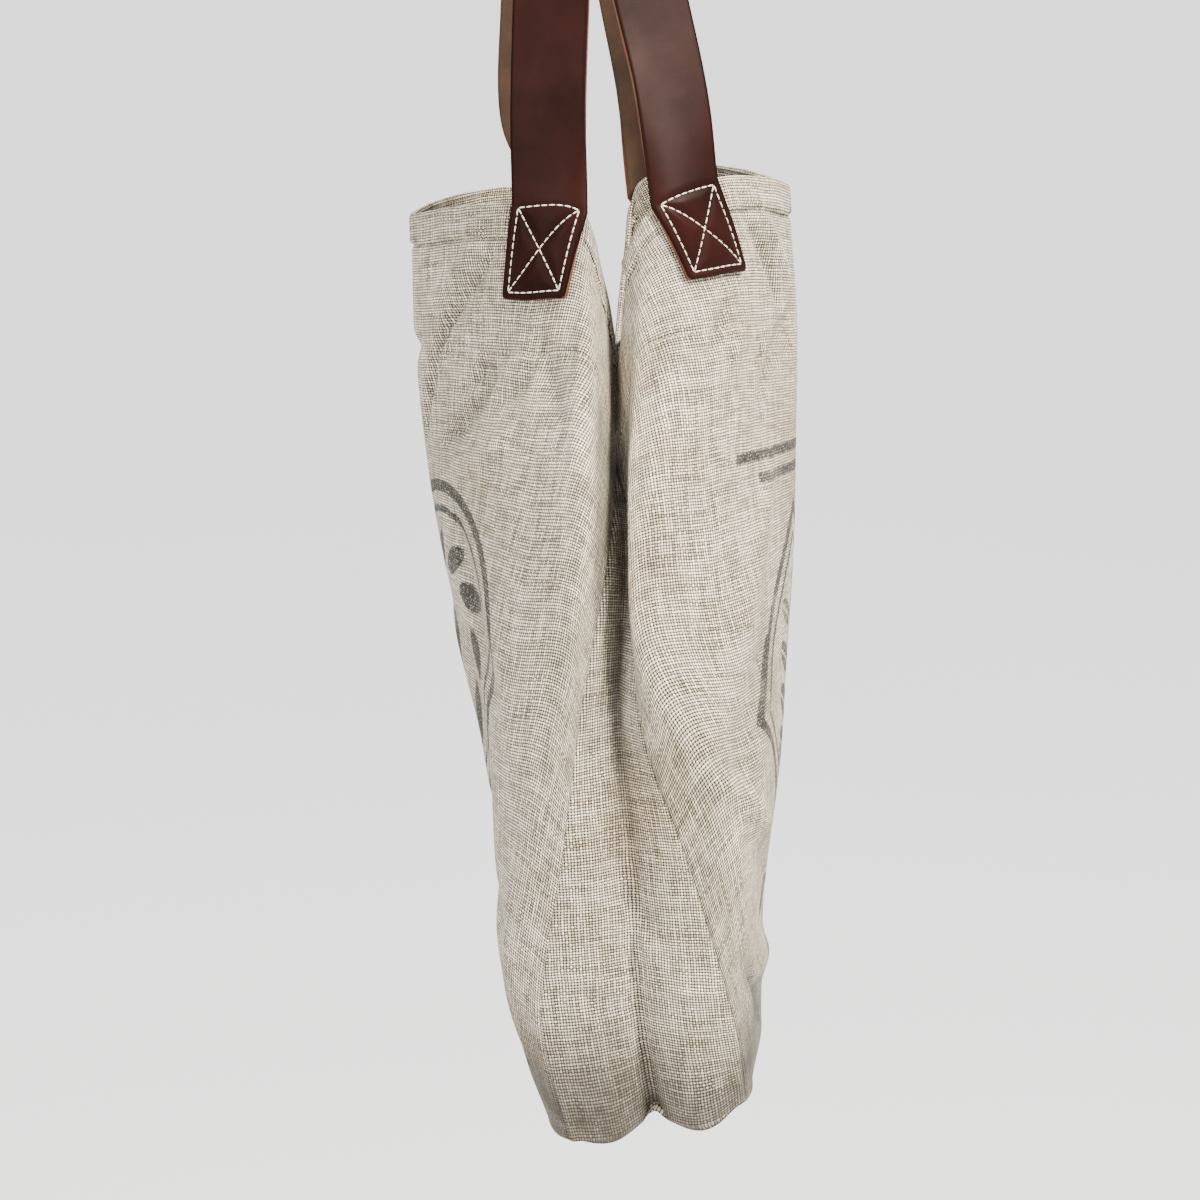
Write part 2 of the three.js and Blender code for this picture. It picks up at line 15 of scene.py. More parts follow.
import bpy
import numpy as np
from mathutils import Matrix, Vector

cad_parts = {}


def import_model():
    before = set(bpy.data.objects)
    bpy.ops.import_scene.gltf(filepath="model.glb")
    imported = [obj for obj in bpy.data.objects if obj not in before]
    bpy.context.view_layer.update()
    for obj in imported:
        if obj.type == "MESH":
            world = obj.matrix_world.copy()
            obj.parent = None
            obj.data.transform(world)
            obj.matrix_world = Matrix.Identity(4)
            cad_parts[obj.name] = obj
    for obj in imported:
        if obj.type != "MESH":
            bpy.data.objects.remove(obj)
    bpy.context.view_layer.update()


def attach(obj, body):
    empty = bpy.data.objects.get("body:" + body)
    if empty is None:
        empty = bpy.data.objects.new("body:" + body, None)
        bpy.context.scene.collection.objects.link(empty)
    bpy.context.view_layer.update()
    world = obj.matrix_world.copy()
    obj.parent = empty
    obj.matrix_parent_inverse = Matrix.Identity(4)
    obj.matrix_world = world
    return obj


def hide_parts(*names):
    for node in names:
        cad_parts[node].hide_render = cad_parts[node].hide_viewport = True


LOG = logging.getLogger("tote_bag")
MM = 0.001
ROOT = "root"

Grid = np.ndarray


class Side(Enum):
    """The two narrow sides of the bag, and the base between them."""

    NEAR = 1
    BASE = 0
    FAR = -1


@dataclass(frozen=True)
class PanelRow:
    """One level of a panel as it hangs: the bow in the middle, and the way to the fold's crest."""

    down: float
    mid_y: float
    flank_x: float
    flank_y: float
    turn_x: float
    turn_y: float
    ridge_x: float
    ridge_y: float


@dataclass(frozen=True)
class SeamRow:
    """One level of the sewn edges down the narrow side."""

    down: float
    front_x: float
    front_y: float
    front_z: float
    back_x: float
    back_y: float
    back_z: float


@dataclass(frozen=True)
class ValleyRow:
    """One level of the strip's middle, pushed in between the panels."""

    down: float
    valley_x: float
    valley_y: float
    valley_z: float


@dataclass(frozen=True)
class DrawnRow:
    """How far the straps draw the cloth away from the middle at one level."""

    down: float
    front: float
    back: float


@dataclass(frozen=True)
class FoldRow(SeamRow):
    """How far the fold stands out from the middle between its crest and its seam, at one level."""


@dataclass(frozen=True)
class StrapRow:
    """A share of the way along the free straps, and the Y of each strap's middle there."""

    share: float
    front_y: float
    back_y: float


FRONT_ROWS = (
    PanelRow(0, -92, 44, -68, 77, -37, 90, -4),
    PanelRow(70, -90, 50, -66, 93, -29, 113, 1),
    PanelRow(140, -84, 70, -64, 130, -28, 159, 1),
    PanelRow(210, -70, 84, -60, 156, -36, 181, -8),
    PanelRow(280, -51, 90, -48, 165, -40, 193, -25),
    PanelRow(350, -43, 92, -43, 166, -42, 196, -35),
    PanelRow(425, -20, 94, -20, 168, -19, 192, -14),
)
BACK_ROWS = (
    PanelRow(0, 103, 46, 88, 74, 64, 94, 31),
    PanelRow(70, 108, 54, 89, 93, 62, 112, 24),
    PanelRow(140, 109, 68, 91, 124, 58, 156, 19),
    PanelRow(210, 107, 80, 95, 151, 69, 183, 24),
    PanelRow(280, 103, 88, 96, 166, 79, 193, 64),
    PanelRow(350, 96, 90, 90, 164, 80, 195, 75),
    PanelRow(425, 84, 92, 89, 166, 80, 191, 78),
)
SEAM_ROWS = (
    SeamRow(0, 56, 14, -342, 56, 14, -342),
    SeamRow(70, 100, 14, -392, 100, 14, -392),
    SeamRow(140, 150, 10, -434, 147, 25, -436),
    SeamRow(210, 186, -3, -500, 180, 24, -501),
    SeamRow(280, 199, -12, -568, 197, 47, -567),
    SeamRow(350, 204, -22, -638, 203, 68, -637),
    SeamRow(425, 201, -9, -703, 199, 76, -682),
)
VALLEY_ROWS = (
    ValleyRow(70, 100, 14, -392),
    ValleyRow(140, 141, 18, -437),
    ValleyRow(210, 164, 15, -501),
    ValleyRow(280, 184, 20, -568),
    ValleyRow(350, 193, 24, -636),
    ValleyRow(425, 190, 32, -694),
)
DRAWN_ROWS = (
    DrawnRow(0, 3, -5),
    DrawnRow(70, 4, -16),
    DrawnRow(140, 2, -8),
    DrawnRow(210, 0, 0),
    DrawnRow(425, 0, 0),
)
FOLD_ROWS = (
    FoldRow(0, 11, 2, 3, 13, -6, 9),
    FoldRow(70, 4, 2, 4, 3, -0.5, 3),
    FoldRow(140, 1.5, 0.5, 1, 0, 0, 0),
    FoldRow(210, 0.5, 0.5, 0.5, 0.2, -0.2, 0),
    FoldRow(280, 0.5, 0, 0.5, 1, 0, 1),
    FoldRow(350, 0.5, 0, 0.5, 1, 0, 1.5),
    FoldRow(425, 0, 0, 0, 0, 0, 0),
)
STRAP_ROWS = (
    StrapRow(0.09, -18.7, 39.5),
    StrapRow(0.175, -17.5, 29),
    StrapRow(0.335, -15, 12),
    StrapRow(0.5, -13, -4),
    StrapRow(0.665, -20, 7),
    StrapRow(0.825, -28, 24),
    StrapRow(0.91, -29.5, 33),
)


@dataclass(frozen=True)
class Cut:
    """The driving sizes of the bag, as it is cut and hung."""

    width: float = 424
    height: float = 425
    strip_top: float = 78
    facing: float = 70
    sacking: float = 1.5
    hem: float = 15
    strap_width: float = 38
    strap_thick: float = 3
    strap_sewn: float = 45
    strap_from_middle: float = 112
    strap_lift: float = 4
    hook_radius: float = 12
    far_width: float = 0.97
    far_droop: float = 15
    base_fold: float = 0.5
    base_fold_reach: float = 0.945
    front_sag: float = 4
    back_sag: float = 9
    gap: float = 0.3

    @property
    def half(self) -> float:
        """Half a panel's width."""
        return self.width / 2


CUT = Cut()
# The height of each line down a panel, at the rim and at the base; the hanging point is at 0.
FRONT_HEIGHTS = {"mid": (-279, -692), "flank": (-273, -696), "turn": (-269, -702), "ridge": (-270, -705)}
BACK_HEIGHTS = {"mid": (-264, -684), "flank": (-258, -688), "turn": (-257, -688), "ridge": (-270, -685)}


def smooth(xs: Sequence[float], ys: Any, x: Any) -> Grid:
    """A smooth curve through points.

    Args:
        xs: Where the points lie, rising.
        ys: Their values, one or several for each.
        x: The places wanted.

    Returns:
        The values at x.
    """
    knots = np.asarray(xs, float)
    values = np.asarray(ys, float).reshape(len(knots), -1)
    places = np.atleast_1d(np.asarray(x, float))
    step = np.diff(knots)[:, None]
    slope = np.diff(values, axis=0) / step
    tangent = np.vstack([slope[:1], slope])
    tangent[1:-1] = (slope[:-1] * step[1:] + slope[1:] * step[:-1]) / (step[1:] + step[:-1])
    k = np.clip(np.searchsorted(knots, places, side="left") - 1, 0, len(knots) - 2)
    t = ((places - knots[k]) / step[k, 0])[:, None]
    return (
        values[k] * (1 + 2 * t) * (1 - t) ** 2
        + values[k + 1] * t * t * (3 - 2 * t)
        + step[k] * (tangent[k] * t * (1 - t) ** 2 - tangent[k + 1] * t * t * (1 - t))
    )


def level(rows: Sequence[Any], names: Sequence[str], down: Any) -> Grid:
    """Named columns of a table at levels of the cloth, one row for each level."""
    table = [[getattr(row, name) for name in names] for row in rows]
    return smooth([row.down for row in rows], table, down)


def unit(vectors: Grid) -> Grid:
    """The same directions with a length of 1."""
    length = np.linalg.norm(vectors, axis=-1, keepdims=True)
    return vectors / np.maximum(length, 1e-9)


def eased(t: Any) -> Any:
    """A share from 0 to 1 with a soft start and end."""
    t = np.clip(t, 0, 1)
    return t * t * (3 - 2 * t)


def bell(distance: Any, width: Any) -> Any:
    """1 at no distance, falling softly to nothing past the width."""
    return np.exp(-((np.asarray(distance) / width) ** 2))


def lengths_along(line: Grid) -> Grid:
    """The length along a line of points, at each of them."""
    return np.concatenate([[0], np.cumsum(np.linalg.norm(np.diff(line, axis=0), axis=1))])


def at_lengths(wanted: Grid, lengths: Grid, line: Grid) -> Grid:
    """The points or directions of a line at wanted lengths along it."""
    return np.column_stack([np.interp(wanted, lengths, line[:, k]) for k in range(3)])


def on_grid(grid: Grid, rows: Grid, columns: Grid) -> Grid:
    """Points on a grid at fractional rows and columns, in straight lines between its own.

    Args:
        grid: The points.
        rows: The rows wanted.
        columns: The columns wanted.

    Returns:
        A point for each place wanted.
    """
    i = np.clip(np.floor(rows).astype(int), 0, grid.shape[0] - 2)
    j = np.clip(np.floor(columns).astype(int), 0, grid.shape[1] - 2)
    a, b = (rows - i)[..., None], (columns - j)[..., None]
    upper = grid[i, j] * (1 - b) + grid[i, j + 1] * b
    lower = grid[i + 1, j] * (1 - b) + grid[i + 1, j + 1] * b
    return upper * (1 - a) + lower * a


def normals_of(grid: Grid, sign: int) -> Grid:
    """The outward direction at each point of a grid of rows.

    Args:
        grid: The points.
        sign: 1, or -1 to turn the directions round.

    Returns:
        A direction for each point.
    """
    across = np.gradient(grid, axis=1)
    down = np.gradient(grid, axis=0)
    return unit(np.cross(across, down)) * sign


def sacking_depth(down: Grid) -> Grid:
    """The panels' thickness at levels of the cloth: double where the facing is turned in."""
    return CUT.sacking * (2 - eased((down - CUT.facing) / CUT.sacking))


def seam_points(name: str, down: Grid, side: Side) -> Grid:
    """The sewn edge of the front or back panel, or the strip's valley, on one side of the bag.

    Args:
        name: front, back or valley.
        down: Levels below the rim.
        side: The side of the bag.

    Returns:
        A point for each level.
    """
    rows = VALLEY_ROWS if name == "valley" else SEAM_ROWS
    points = level(rows, [f"{name}_{axis}" for axis in "xyz"], down)
    if side is Side.FAR:
        up = (1 - np.asarray(down) / CUT.height) ** 2
        points = points * [-CUT.far_width, 1, 1] + np.outer(up, [0, 0, -CUT.far_droop])
    return points


@dataclass(frozen=True)
class Crease:
    """A soft trough or ridge in the cloth, by its ends as (across, down).

    Its height is multiplied by the crease depth of the piece that it is on.
    """

    start: tuple[float, float]
    end: tuple[float, float]
    width: float
    height: float
    bow: float = 0

    def lift(self, across: Grid, down: Grid) -> Grid:
        """How far the crease lifts the cloth at each place; a trough lifts it by less than nothing.

        Args:
            across: Places across the cut.
            down: Places down it.

        Returns:
            The lift at each place, in millimetres.
        """
        start, end = np.array(self.start), np.array(self.end)
        length = float(np.linalg.norm(end - start))
        way = (end - start) / length
        along = (across - start[0]) * way[0] + (down - start[1]) * way[1]
        aside = -(across - start[0]) * way[1] + (down - start[1]) * way[0]
        inside = np.sin(math.pi * np.clip(along / length, 0, 1))
        # It is about half as wide at its ends as in its middle.
        width = self.width * (0.55 + 0.45 * inside)
        return self.height * np.sqrt(inside) * bell(aside - self.bow * inside, width)


FRONT_CREASES = (
    Crease((44, 118), (92, 78), 6, -2.2, 5),
    Crease((96, 96), (118, 74), 5, -1.4, 3),
    Crease((60, 128), (112, 108), 8, 1.4, 4),
    Crease((38, 62), (84, 20), 4, -1.6, 2),
    Crease((22, 52), (72, 14), 5, 1.2, 3),
    Crease((15, 118), (52, 48), 5, -2.0, -4),
    Crease((60, 92), (104, 62), 6, -1.2, 2),
    Crease((30, 84), (48, 66), 3.5, 1.0),
    Crease((70, 88), (84, 68), 3, -0.9),
    Crease((-40, 110), (20, 60), 7, -1.6, -5),
    Crease((118, 58), (150, 100), 5, -1.2, 3),
    Crease((140, 40), (168, 120), 6, 1.4, 2),
    Crease((60, 150), (150, 230), 12, -1.6, 8),
    Crease((20, 210), (120, 280), 14, 1.6, -6),
    Crease((60, 290), (180, 330), 12, -1.6, 5),
    Crease((30, 350), (150, 395), 12, 1.4, -5),
    Crease((150, 330), (200, 400), 7, -1.3, 3),
    Crease((-150, 60), (-60, 150), 10, -2.0, 6),
    Crease((-170, 180), (-60, 260), 14, 1.8, -8),
    Crease((-160, 300), (-30, 380), 13, -1.8, 7),
)
BACK_CREASES = (
    Crease((160, 5), (212, 5), 15, -3.0),
    Crease((80, 16), (48, 66), 5, -1.8, 3),
    Crease((62, 12), (30, 52), 5, 1.3, -2),
    Crease((132, 84), (112, 58), 3, -1.0),
    Crease((118, 92), (96, 66), 3.5, 0.9),
    Crease((86, 96), (70, 70), 3.5, -1.0),
    Crease((44, 92), (30, 72), 4, 1.0),
    Crease((24, 60), (90, 112), 6, -1.4, -4),
    Crease((150, 60), (178, 160), 6, -1.2, -3),
    Crease((70, 130), (130, 210), 11, 1.4, 5),
    Crease((95, 215), (178, 285), 11, -1.5, -6),
    Crease((100, 320), (190, 260), 9, 1.8, 4),
    Crease((60, 350), (150, 300), 12, -1.4, 5),
    Crease((40, 400), (170, 370), 10, 1.6, -4),
    Crease((120, 412), (196, 350), 8, -1.6, 4),
    Crease((-170, 90), (-60, 60), 9, -1.8, 5),
    Crease((-180, 220), (-50, 290), 14, 1.8, -8),
    Crease((-140, 320), (-20, 390), 12, -1.8, 6),
)
STRIP_CREASES = (
    Crease((22, 120), (44, 190), 6, -1.6, 3),
    Crease((78, 150), (96, 230), 6, 1.4, -2),
    Crease((18, 262), (52, 318), 7, -1.8, 4),
    Crease((30, 300), (54, 330), 5, 1.3),
    Crease((66, 262), (100, 322), 6, -1.4, -3),
    Crease((14, 340), (48, 352), 5, -1.2, 3),
    Crease((66, 346), (102, 330), 5, 1.4, 2),
    Crease((20, 470), (50, 560), 8, -1.6, 5),
    Crease((70, 600), (96, 700), 8, 1.6, -4),
)


# Grime and painted shade may pass 1 a little, since their blotches thin them again.
GRIME_AND_SHADE_MOST = 1.15


@dataclass
class Panel:
    """The front or the back panel, as a smooth surface over the places of its flat cut.

    Its face has a relief in millimetres: the rolled hem, the grooves and puckers that the rows of
    stitches pull, slack, listed creases, and the cloth pressed flat under the straps.
    """

    name: str
    rows: Sequence[PanelRow]
    heights: dict[str, tuple[float, float]]
    outward: int
    far_lean: float
    creases: Sequence[Crease]
    design: Design
    # Where the painted shade in the tuck beside the strip begins, across the cut.
    tuck_shade_from: float
    rim_grime: float
    hem_swell: float = 0.9
    hem_groove: float = 1.5
    facing_groove: float = 0.6
    pucker: float = 0.35
    slack: float = 0.7
    crease_depth: float = 2.6
    strap_press: float = 0.25
    curve_steps: int = 160
    across: Grid = field(init=False)
    downs: Grid = field(init=False)
    smooth_face: Grid = field(init=False)
    normals: Grid = field(init=False)
    face: Grid = field(init=False)

    def lines(self, downs: Grid) -> Grid:
        """The eleven points that each level runs through, from the far seam to the near one.

        Args:
            downs: Levels below the rim.

        Returns:
            A row of points for each level.
        """
        near = {}
        for name, (rim, base) in self.heights.items():
            x = np.zeros(len(downs)) if name == "mid" else level(self.rows, [f"{name}_x"], downs)[:, 0]
            y = level(self.rows, [f"{name}_y"], downs)[:, 0]
            near[name] = np.column_stack([x, y, rim + (base - rim) * downs / CUT.height])
        lean = np.outer(self.far_lean * (1 - downs / CUT.height) ** 3, [0, 1, 0])
        far = {name: points * [-CUT.far_width, 1, 1] + lean for name, points in near.items()}
        near_seam, far_seam = (seam_points(self.name, downs, side) for side in (Side.NEAR, Side.FAR))
        stands = level(FOLD_ROWS, [f"{self.name}_{axis}" for axis in "xyz"], downs)
        near_fold = (near["ridge"] + near_seam) / 2 + stands
        far_fold = (far["ridge"] + far_seam) / 2 + stands * [-CUT.far_width, 0, 1]
        far_half = [far_seam, far_fold, far["ridge"], far["turn"], far["flank"]]
        near_half = [near["flank"], near["turn"], near["ridge"], near_fold, near_seam]
        return np.stack([*far_half, near["mid"], *near_half], axis=1)

    def points(self, across: Grid, downs: Grid) -> Grid:
        """The panel's outer face at places across and down.

        Args:
            across: Places from the middle, rising; the near side is positive.
            downs: Levels below the rim, rising.

        Returns:
            A grid of points, a row for each level.
        """
        drawn = level(DRAWN_ROWS, [self.name], downs)[:, 0] / CUT.half
        share = np.abs(across) / CUT.half
        result = np.zeros((len(downs), len(across), 3))
        for i, line in enumerate(self.lines(downs)):
            along = lengths_along(line)
            middle = along[len(line) // 2]
            places = share + drawn[i] * np.sin(math.pi * share)
            for end, chosen in ((along[-1], across >= 0), (0, across < 0)):
                curve = smooth(along, line, np.linspace(middle, end, self.curve_steps))
                lengths = lengths_along(curve)
                result[i, chosen] = at_lengths(places[chosen] * lengths[-1], lengths, curve)
        return result

    def relief(self, across: Grid, down: Grid) -> Grid:
        """How far the hem, the stitch rows and the creases lift the cloth.

        Args:
            across: Places across the cut.
            down: Places down it.

        Returns:
            The lift at each place, in millimetres.
        """

        def puckers(row: float, wave: float, sway: float, swing: float, reach: float) -> Grid:
            """Small uneven waves along a row of stitches, which fade over a reach."""
            waves = np.sin(across / wave + sway * np.sin(across / swing))
            return self.pucker * waves * np.exp(-np.abs(down - row) / reach)

        wavy = down + 0.5 * np.sin(across / 9 + 1.5 * np.sin(across / 31))
        hem = self.hem_swell * eased((CUT.hem + 0.4 - wavy) / 1.8) * eased((down + 1.5) / 3)
        groove = -self.hem_groove * bell(wavy - CUT.hem - 0.9, 1.4)
        row = -self.facing_groove * bell(down - CUT.facing, 1.8)
        puckered = puckers(CUT.hem, 1.55, 1.4, 17, 5) + row + puckers(CUT.facing, 2.3, 2.1, 23, 7)
        slack = np.sin(across / 29 + down / 47) * np.sin(down / 38 - across / 71) * eased(down / 60)
        creases = self.crease_depth * sum(crease.lift(across, down) for crease in self.creases)
        beside = np.abs(np.abs(across) - CUT.strap_from_middle) - CUT.strap_width / 2
        under = eased(1 - np.maximum(beside, down - CUT.strap_sewn) / 5)
        free = (1 - under) * eased(np.minimum(CUT.half - np.abs(across), CUT.height - down) / 9)
        return (hem + groove + puckered + self.slack * slack + creases) * free - self.strap_press * under

    def grime_and_shade(self, across: Grid, down: Grid) -> Grid:
        """How dirty or shaded each place is: dirt at the base and at the hem, and painted shade in the tuck
        beside the strip and in hollows.

        Args:
            across: Places across the cut.
            down: Places down it.

        Returns:
            The grime and painted shade at each place: 0 on clean, unshaded cloth.
        """
        aside = np.abs(across)
        base = 1.1 * eased((down - 352 - 12 * np.sin(aside / 37)) / 60)
        base = base * (0.55 + 0.45 * eased((aside - 40) / 150))
        # Painted shade in the tuck, where the cloth folds in beside the strip and lies in shadow.
        tuck = 0.78 * eased((aside - self.tuck_shade_from - 0.46 * down) / 9) * eased((down - 62) / 25)
        rim = self.rim_grime * eased((CUT.hem - down) / 3)
        seams = 0.45 * bell(down - CUT.hem - 1.2, 1.1) + 0.2 * bell(down - CUT.facing, 1.3)
        # Painted shade in the troughs of the creases.
        hollow_shade = 0.2 * np.clip(-sum(crease.lift(across, down) for crease in self.creases), 0, 1.5)
        return np.minimum(GRIME_AND_SHADE_MOST, np.maximum(np.maximum(base, tuck), rim) + seams + hollow_shade)

    def hang(self, across: Grid, downs: Grid) -> None:
        """Works out the panel's outer face, with its relief, on a fine grid.

        Args:
            across: The grid's places across the cut.
            downs: Its levels below the rim.
        """
        self.across, self.downs = across, downs
        self.smooth_face = self.points(across, downs)
        self.normals = normals_of(self.smooth_face, self.outward)
        self.face = self.smooth_face + self.normals * self.relief(*np.meshgrid(across, downs))[..., None]


@dataclass
class Strip:
    """The strip sewn between the panels: down the near side, along the base and up the far side.

    It follows stations along the panels' edges, each a row and a column of the panels' grids and
    the side of the bag that it is on.
    """

    front: Panel
    back: Panel
    columns: int = 44
    corner: float = 45.0
    crest_softness: float = 0.7
    slack: float = 0.6
    crease_depth: float = 1.6
    corner_tuck: float = 3.2
    corner_reach: float = 110
    pinch: float = 0.95
    stations: list[tuple[int, int, Side]] = field(init=False)
    lengths: Grid = field(init=False)
    shares: Grid = field(init=False)
    face: Grid = field(init=False)
    normals: Grid = field(init=False)
    width: Grid = field(init=False)

    def walk(self) -> list[tuple[int, int, Side]]:
        """The stations from the near side's top, round the base, to the far side's top.

        Returns:
            The stations, in order.
        """
        downs = self.front.downs
        first, last = int(np.searchsorted(downs, CUT.strip_top)), len(downs) - 1
        last_column = len(self.front.across) - 1
        near = [(i, last_column, Side.NEAR) for i in range(first, last + 1)]
        base = [(last, j, Side.BASE) for j in range(last_column - 1, 0, -1)]
        far = [(i, 0, Side.FAR) for i in range(last, first - 1, -1)]
        return near + base + far

    def spine(self, station: tuple[int, int, Side], front: Grid, back: Grid) -> tuple[Grid, Grid]:
        """The strip's middle at a station between two points of its seams, and how the cloth bellies.

        Args:
            station: The station.
            front: The front seam's point there.
            back: The back seam's point there.

        Returns:
            The middle's point, and a direction with the share of the belly as its length.
        """
        i, j, side = station
        down, across = self.front.downs[i], self.front.across[j]
        if side is Side.BASE:
            middle = (front + back) / 2 * [CUT.base_fold_reach, 1, 1] + [0, 0, CUT.base_fold]
            turn = 0.5 + 0.5 * eased((CUT.half - abs(across)) / self.corner)
            outward = math.copysign(1, across)
        else:
            middle = seam_points("valley", np.array([down]), side)[0]
            turn = 0.5 - 0.5 * eased((CUT.height - down) / self.corner)
            outward = side.value
        angle = turn * math.pi / 2
        belly = np.array([outward * math.cos(angle), 0, -math.sin(angle)])
        return middle, belly * (down / CUT.height) ** 4

    def hang(self) -> None:
        """Works out the strip's outer face from the edges of both panels."""
        self.stations = self.walk()
        front = np.array([self.front.smooth_face[i, j] for i, j, _ in self.stations])
        back = np.array([self.back.smooth_face[i, j] for i, j, _ in self.stations])
        spines = [self.spine(*each) for each in zip(self.stations, front, back)]
        middle, belly = (np.array(part)[:, None] for part in zip(*spines))
        self.shares = np.linspace(0, 1, self.columns + 1)
        t = self.shares[None, :, None] * 2
        first_half = front[:, None] * (1 - t) + middle * t
        second_half = middle * (2 - t) + back[:, None] * (t - 1)
        sag = np.where(t < 1, CUT.front_sag, CUT.back_sag) * np.abs(np.sin(math.pi * t))
        face = np.where(t < 1, first_half, second_half) + belly * sag
        crest = self.crest_softness * bell(self.shares - 0.5, 0.05)[None, :, None]
        face = face * (1 - crest) + (np.roll(face, 2, axis=1) + np.roll(face, -2, axis=1)) / 2 * crest
        self.lengths = CUT.strip_top + lengths_along((front + back) / 2)
        self.normals = normals_of(face, -1)
        self.width = np.linalg.norm(np.diff(face, axis=1), axis=2).sum(axis=1)
        self.face = face + self.normals * self.relief()[..., None]

    def flat(self) -> tuple[Grid, Grid, Grid, Grid]:
        """Each point's places on the flat cut: across, along, from the middle line, from the nearer edge.

        Returns:
            Four grids of distances, in millimetres.
        """
        width = self.width[:, None]
        across = self.shares[None, :] * width
        along = np.repeat(self.lengths[:, None], self.columns + 1, axis=1)
        return across, along, across - width / 2, np.minimum(across, width - across)

    def relief(self) -> Grid:
        """How far slack, creases and the tucks at the base corners lift the cloth.

        Returns:
            The lift at each point, in millimetres.
        """
        across, along, centred, from_edge = self.flat()
        slack = self.slack * np.sin(along / 21 + across / 13) * np.sin(across / 17 - along / 53)
        creases = self.crease_depth * sum(crease.lift(across, along) for crease in STRIP_CREASES)
        to_corner = np.abs(np.abs(along - along[len(along) // 2]) - CUT.half)
        lobes = bell(np.abs(centred) - self.width[:, None] / 4, 14)
        tuck = self.corner_tuck * bell(to_corner, self.corner_reach) * (lobes - 1.6 * bell(centred, 3.5))
        free = eased(from_edge / 9) * eased((along - 90) / 40)
        return (slack + creases) * free + tuck * eased(from_edge / 14)

    def above_base(self) -> Grid:
        """How far up the side each point lies from the base corner; less than nothing along the base.

        Returns:
            A distance for each point.
        """
        corner = next(k for k, (_, _, side) in enumerate(self.stations) if side is Side.BASE)
        from_middle = np.abs(self.lengths - self.lengths[len(self.lengths) // 2])
        return np.repeat((from_middle - from_middle[corner])[:, None], self.columns + 1, axis=1)

    def thickness(self) -> Grid:
        """The sheet's thickness: less at the seams, and pinched where it folds sharply at a base corner.

        Returns:
            A thickness for each point.
        """
        _, _, centred, from_edge = self.flat()
        pinched = 1 - self.pinch * bell(centred, 10) * bell(self.above_base(), 14)
        return CUT.sacking * (0.3 + 0.7 * eased(from_edge / 5)) * pinched

    def grime_and_shade(self) -> Grid:
        """How dirty or shaded each place is: dirt at the base, and painted shade in its notch and in the
        valley up each side.

        Returns:
            The grime and painted shade at each point: 0 on clean, unshaded cloth.
        """
        across, _, centred, _ = self.flat()
        above = self.above_base()
        base = 1.1 * eased((60 - above + 9 * np.sin(across / 15)) / 60)
        # Painted shade down the middle of the valley, and over the whole strip higher up, where it lies deep
        # between the panels.
        valley = 0.75 * bell(centred, 7) * eased((above - 108) / 60) + 0.35 * eased((above - 168) / 60)
        # Painted shade in the notch along the middle fold of the base.
        notch = 0.5 * bell(centred, 9) * eased((14 - above) / 14)
        return np.minimum(GRIME_AND_SHADE_MOST, np.maximum(base, valley) + notch)


@dataclass(frozen=True)
class SeamPull:
    """How a seam pulls the cloth in at its line, and lets it swell a little beside it."""

    sink: float = 0.9
    swell: float = 0.35
    reach: float = 4.0
    swell_reach: float = 6.4

    def at(self, gap: Grid) -> tuple[Grid, Grid]:
        """The share of the pull at each distance from the seam, and the swell there."""
        pull = np.clip(1 - gap / self.reach, 0, 1) ** 2
        return pull, self.swell * np.sin(math.pi * np.clip(gap / self.swell_reach, 0, 1)) ** 2

    def close(self, strip: Strip) -> None:
        """Pulls the edges of the panels and the strip in, so that they meet along their seams.

        Args:
            strip: The strip, which knows its panels.
        """
        sides = ((strip.front, 0), (strip.back, -1))
        both = -unit(strip.front.normals + strip.back.normals)
        for panel, column in sides:
            inward = both.copy()
            for k, (i, j, _) in enumerate(strip.stations):
                own = -unit(panel.normals[i, j] + strip.normals[k, column])
                share = eased((panel.downs[i] - CUT.strip_top) / 25)
                inward[i, j] = unit(both[i, j] * (1 - share) + own * share)
            across, down = np.meshgrid(panel.across, panel.downs)
            side_gap, base_gap = CUT.half - np.abs(across), CUT.height - down
            to_side = np.where((across < 0)[..., None], inward[:, :1], inward[:, -1:])
            nearest = np.where((side_gap < base_gap)[..., None], to_side, inward[-1:])
            pull, swell = self.at(np.minimum(side_gap, base_gap))
            moved = nearest * (self.sink * pull)[..., None] + panel.normals * swell[..., None]
            panel.face = panel.face + moved
        edges = [np.array([panel.face[i, j] for i, j, _ in strip.stations]) for panel, _ in sides]
        moves = [edge - strip.face[:, column] for edge, (_, column) in zip(edges, sides)]
        across = strip.flat()[0]
        for gap, move in zip((across, strip.width[:, None] - across), moves):
            pull, swell = self.at(gap)
            swell = swell * eased((strip.lengths - 95) / 30)[:, None]
            strip.face = strip.face + move[:, None] * pull[..., None] + strip.normals * swell[..., None]


def put(name: str, data: Any) -> bpy.types.Object:
    """A new object of the scene, from its mesh, light or camera.

    Args:
        name: The object's name.
        data: Its data.

    Returns:
        The object.
    """
    thing = bpy.data.objects.new(name, data)
    bpy.context.scene.collection.objects.link(thing)
    return thing


def mesh_object(name: str, points: Grid, faces: Any, places: Grid | None = None) -> bpy.types.Object:
    """A smooth shaded object from points and faces, in metres, with a UV map if given.

    Args:
        name: The piece's name.
        points: Its points.
        faces: Each face's points, by number.
        places: Each point's place on the UV map.

    Returns:
        The piece, at the origin.
    """
    mesh = bpy.data.meshes.new(name)
    mesh.from_pydata(points.tolist(), [], [list(face) for face in faces])
    if places is not None:
        layer = mesh.uv_layers.new(name="cut")
        corners = np.zeros(len(mesh.loops), int)
        mesh.loops.foreach_get("vertex_index", corners)
        layer.data.foreach_set("uv", places[corners].ravel())
    mesh.shade_smooth()
    return put(name, mesh)


def quads_of(number: Grid) -> Grid:
    """The four-sided faces of a grid of numbered points."""
    corners = (number[:-1, :-1], number[1:, :-1], number[1:, 1:], number[:-1, 1:])
    return np.stack(corners, axis=-1).reshape(-1, 4)


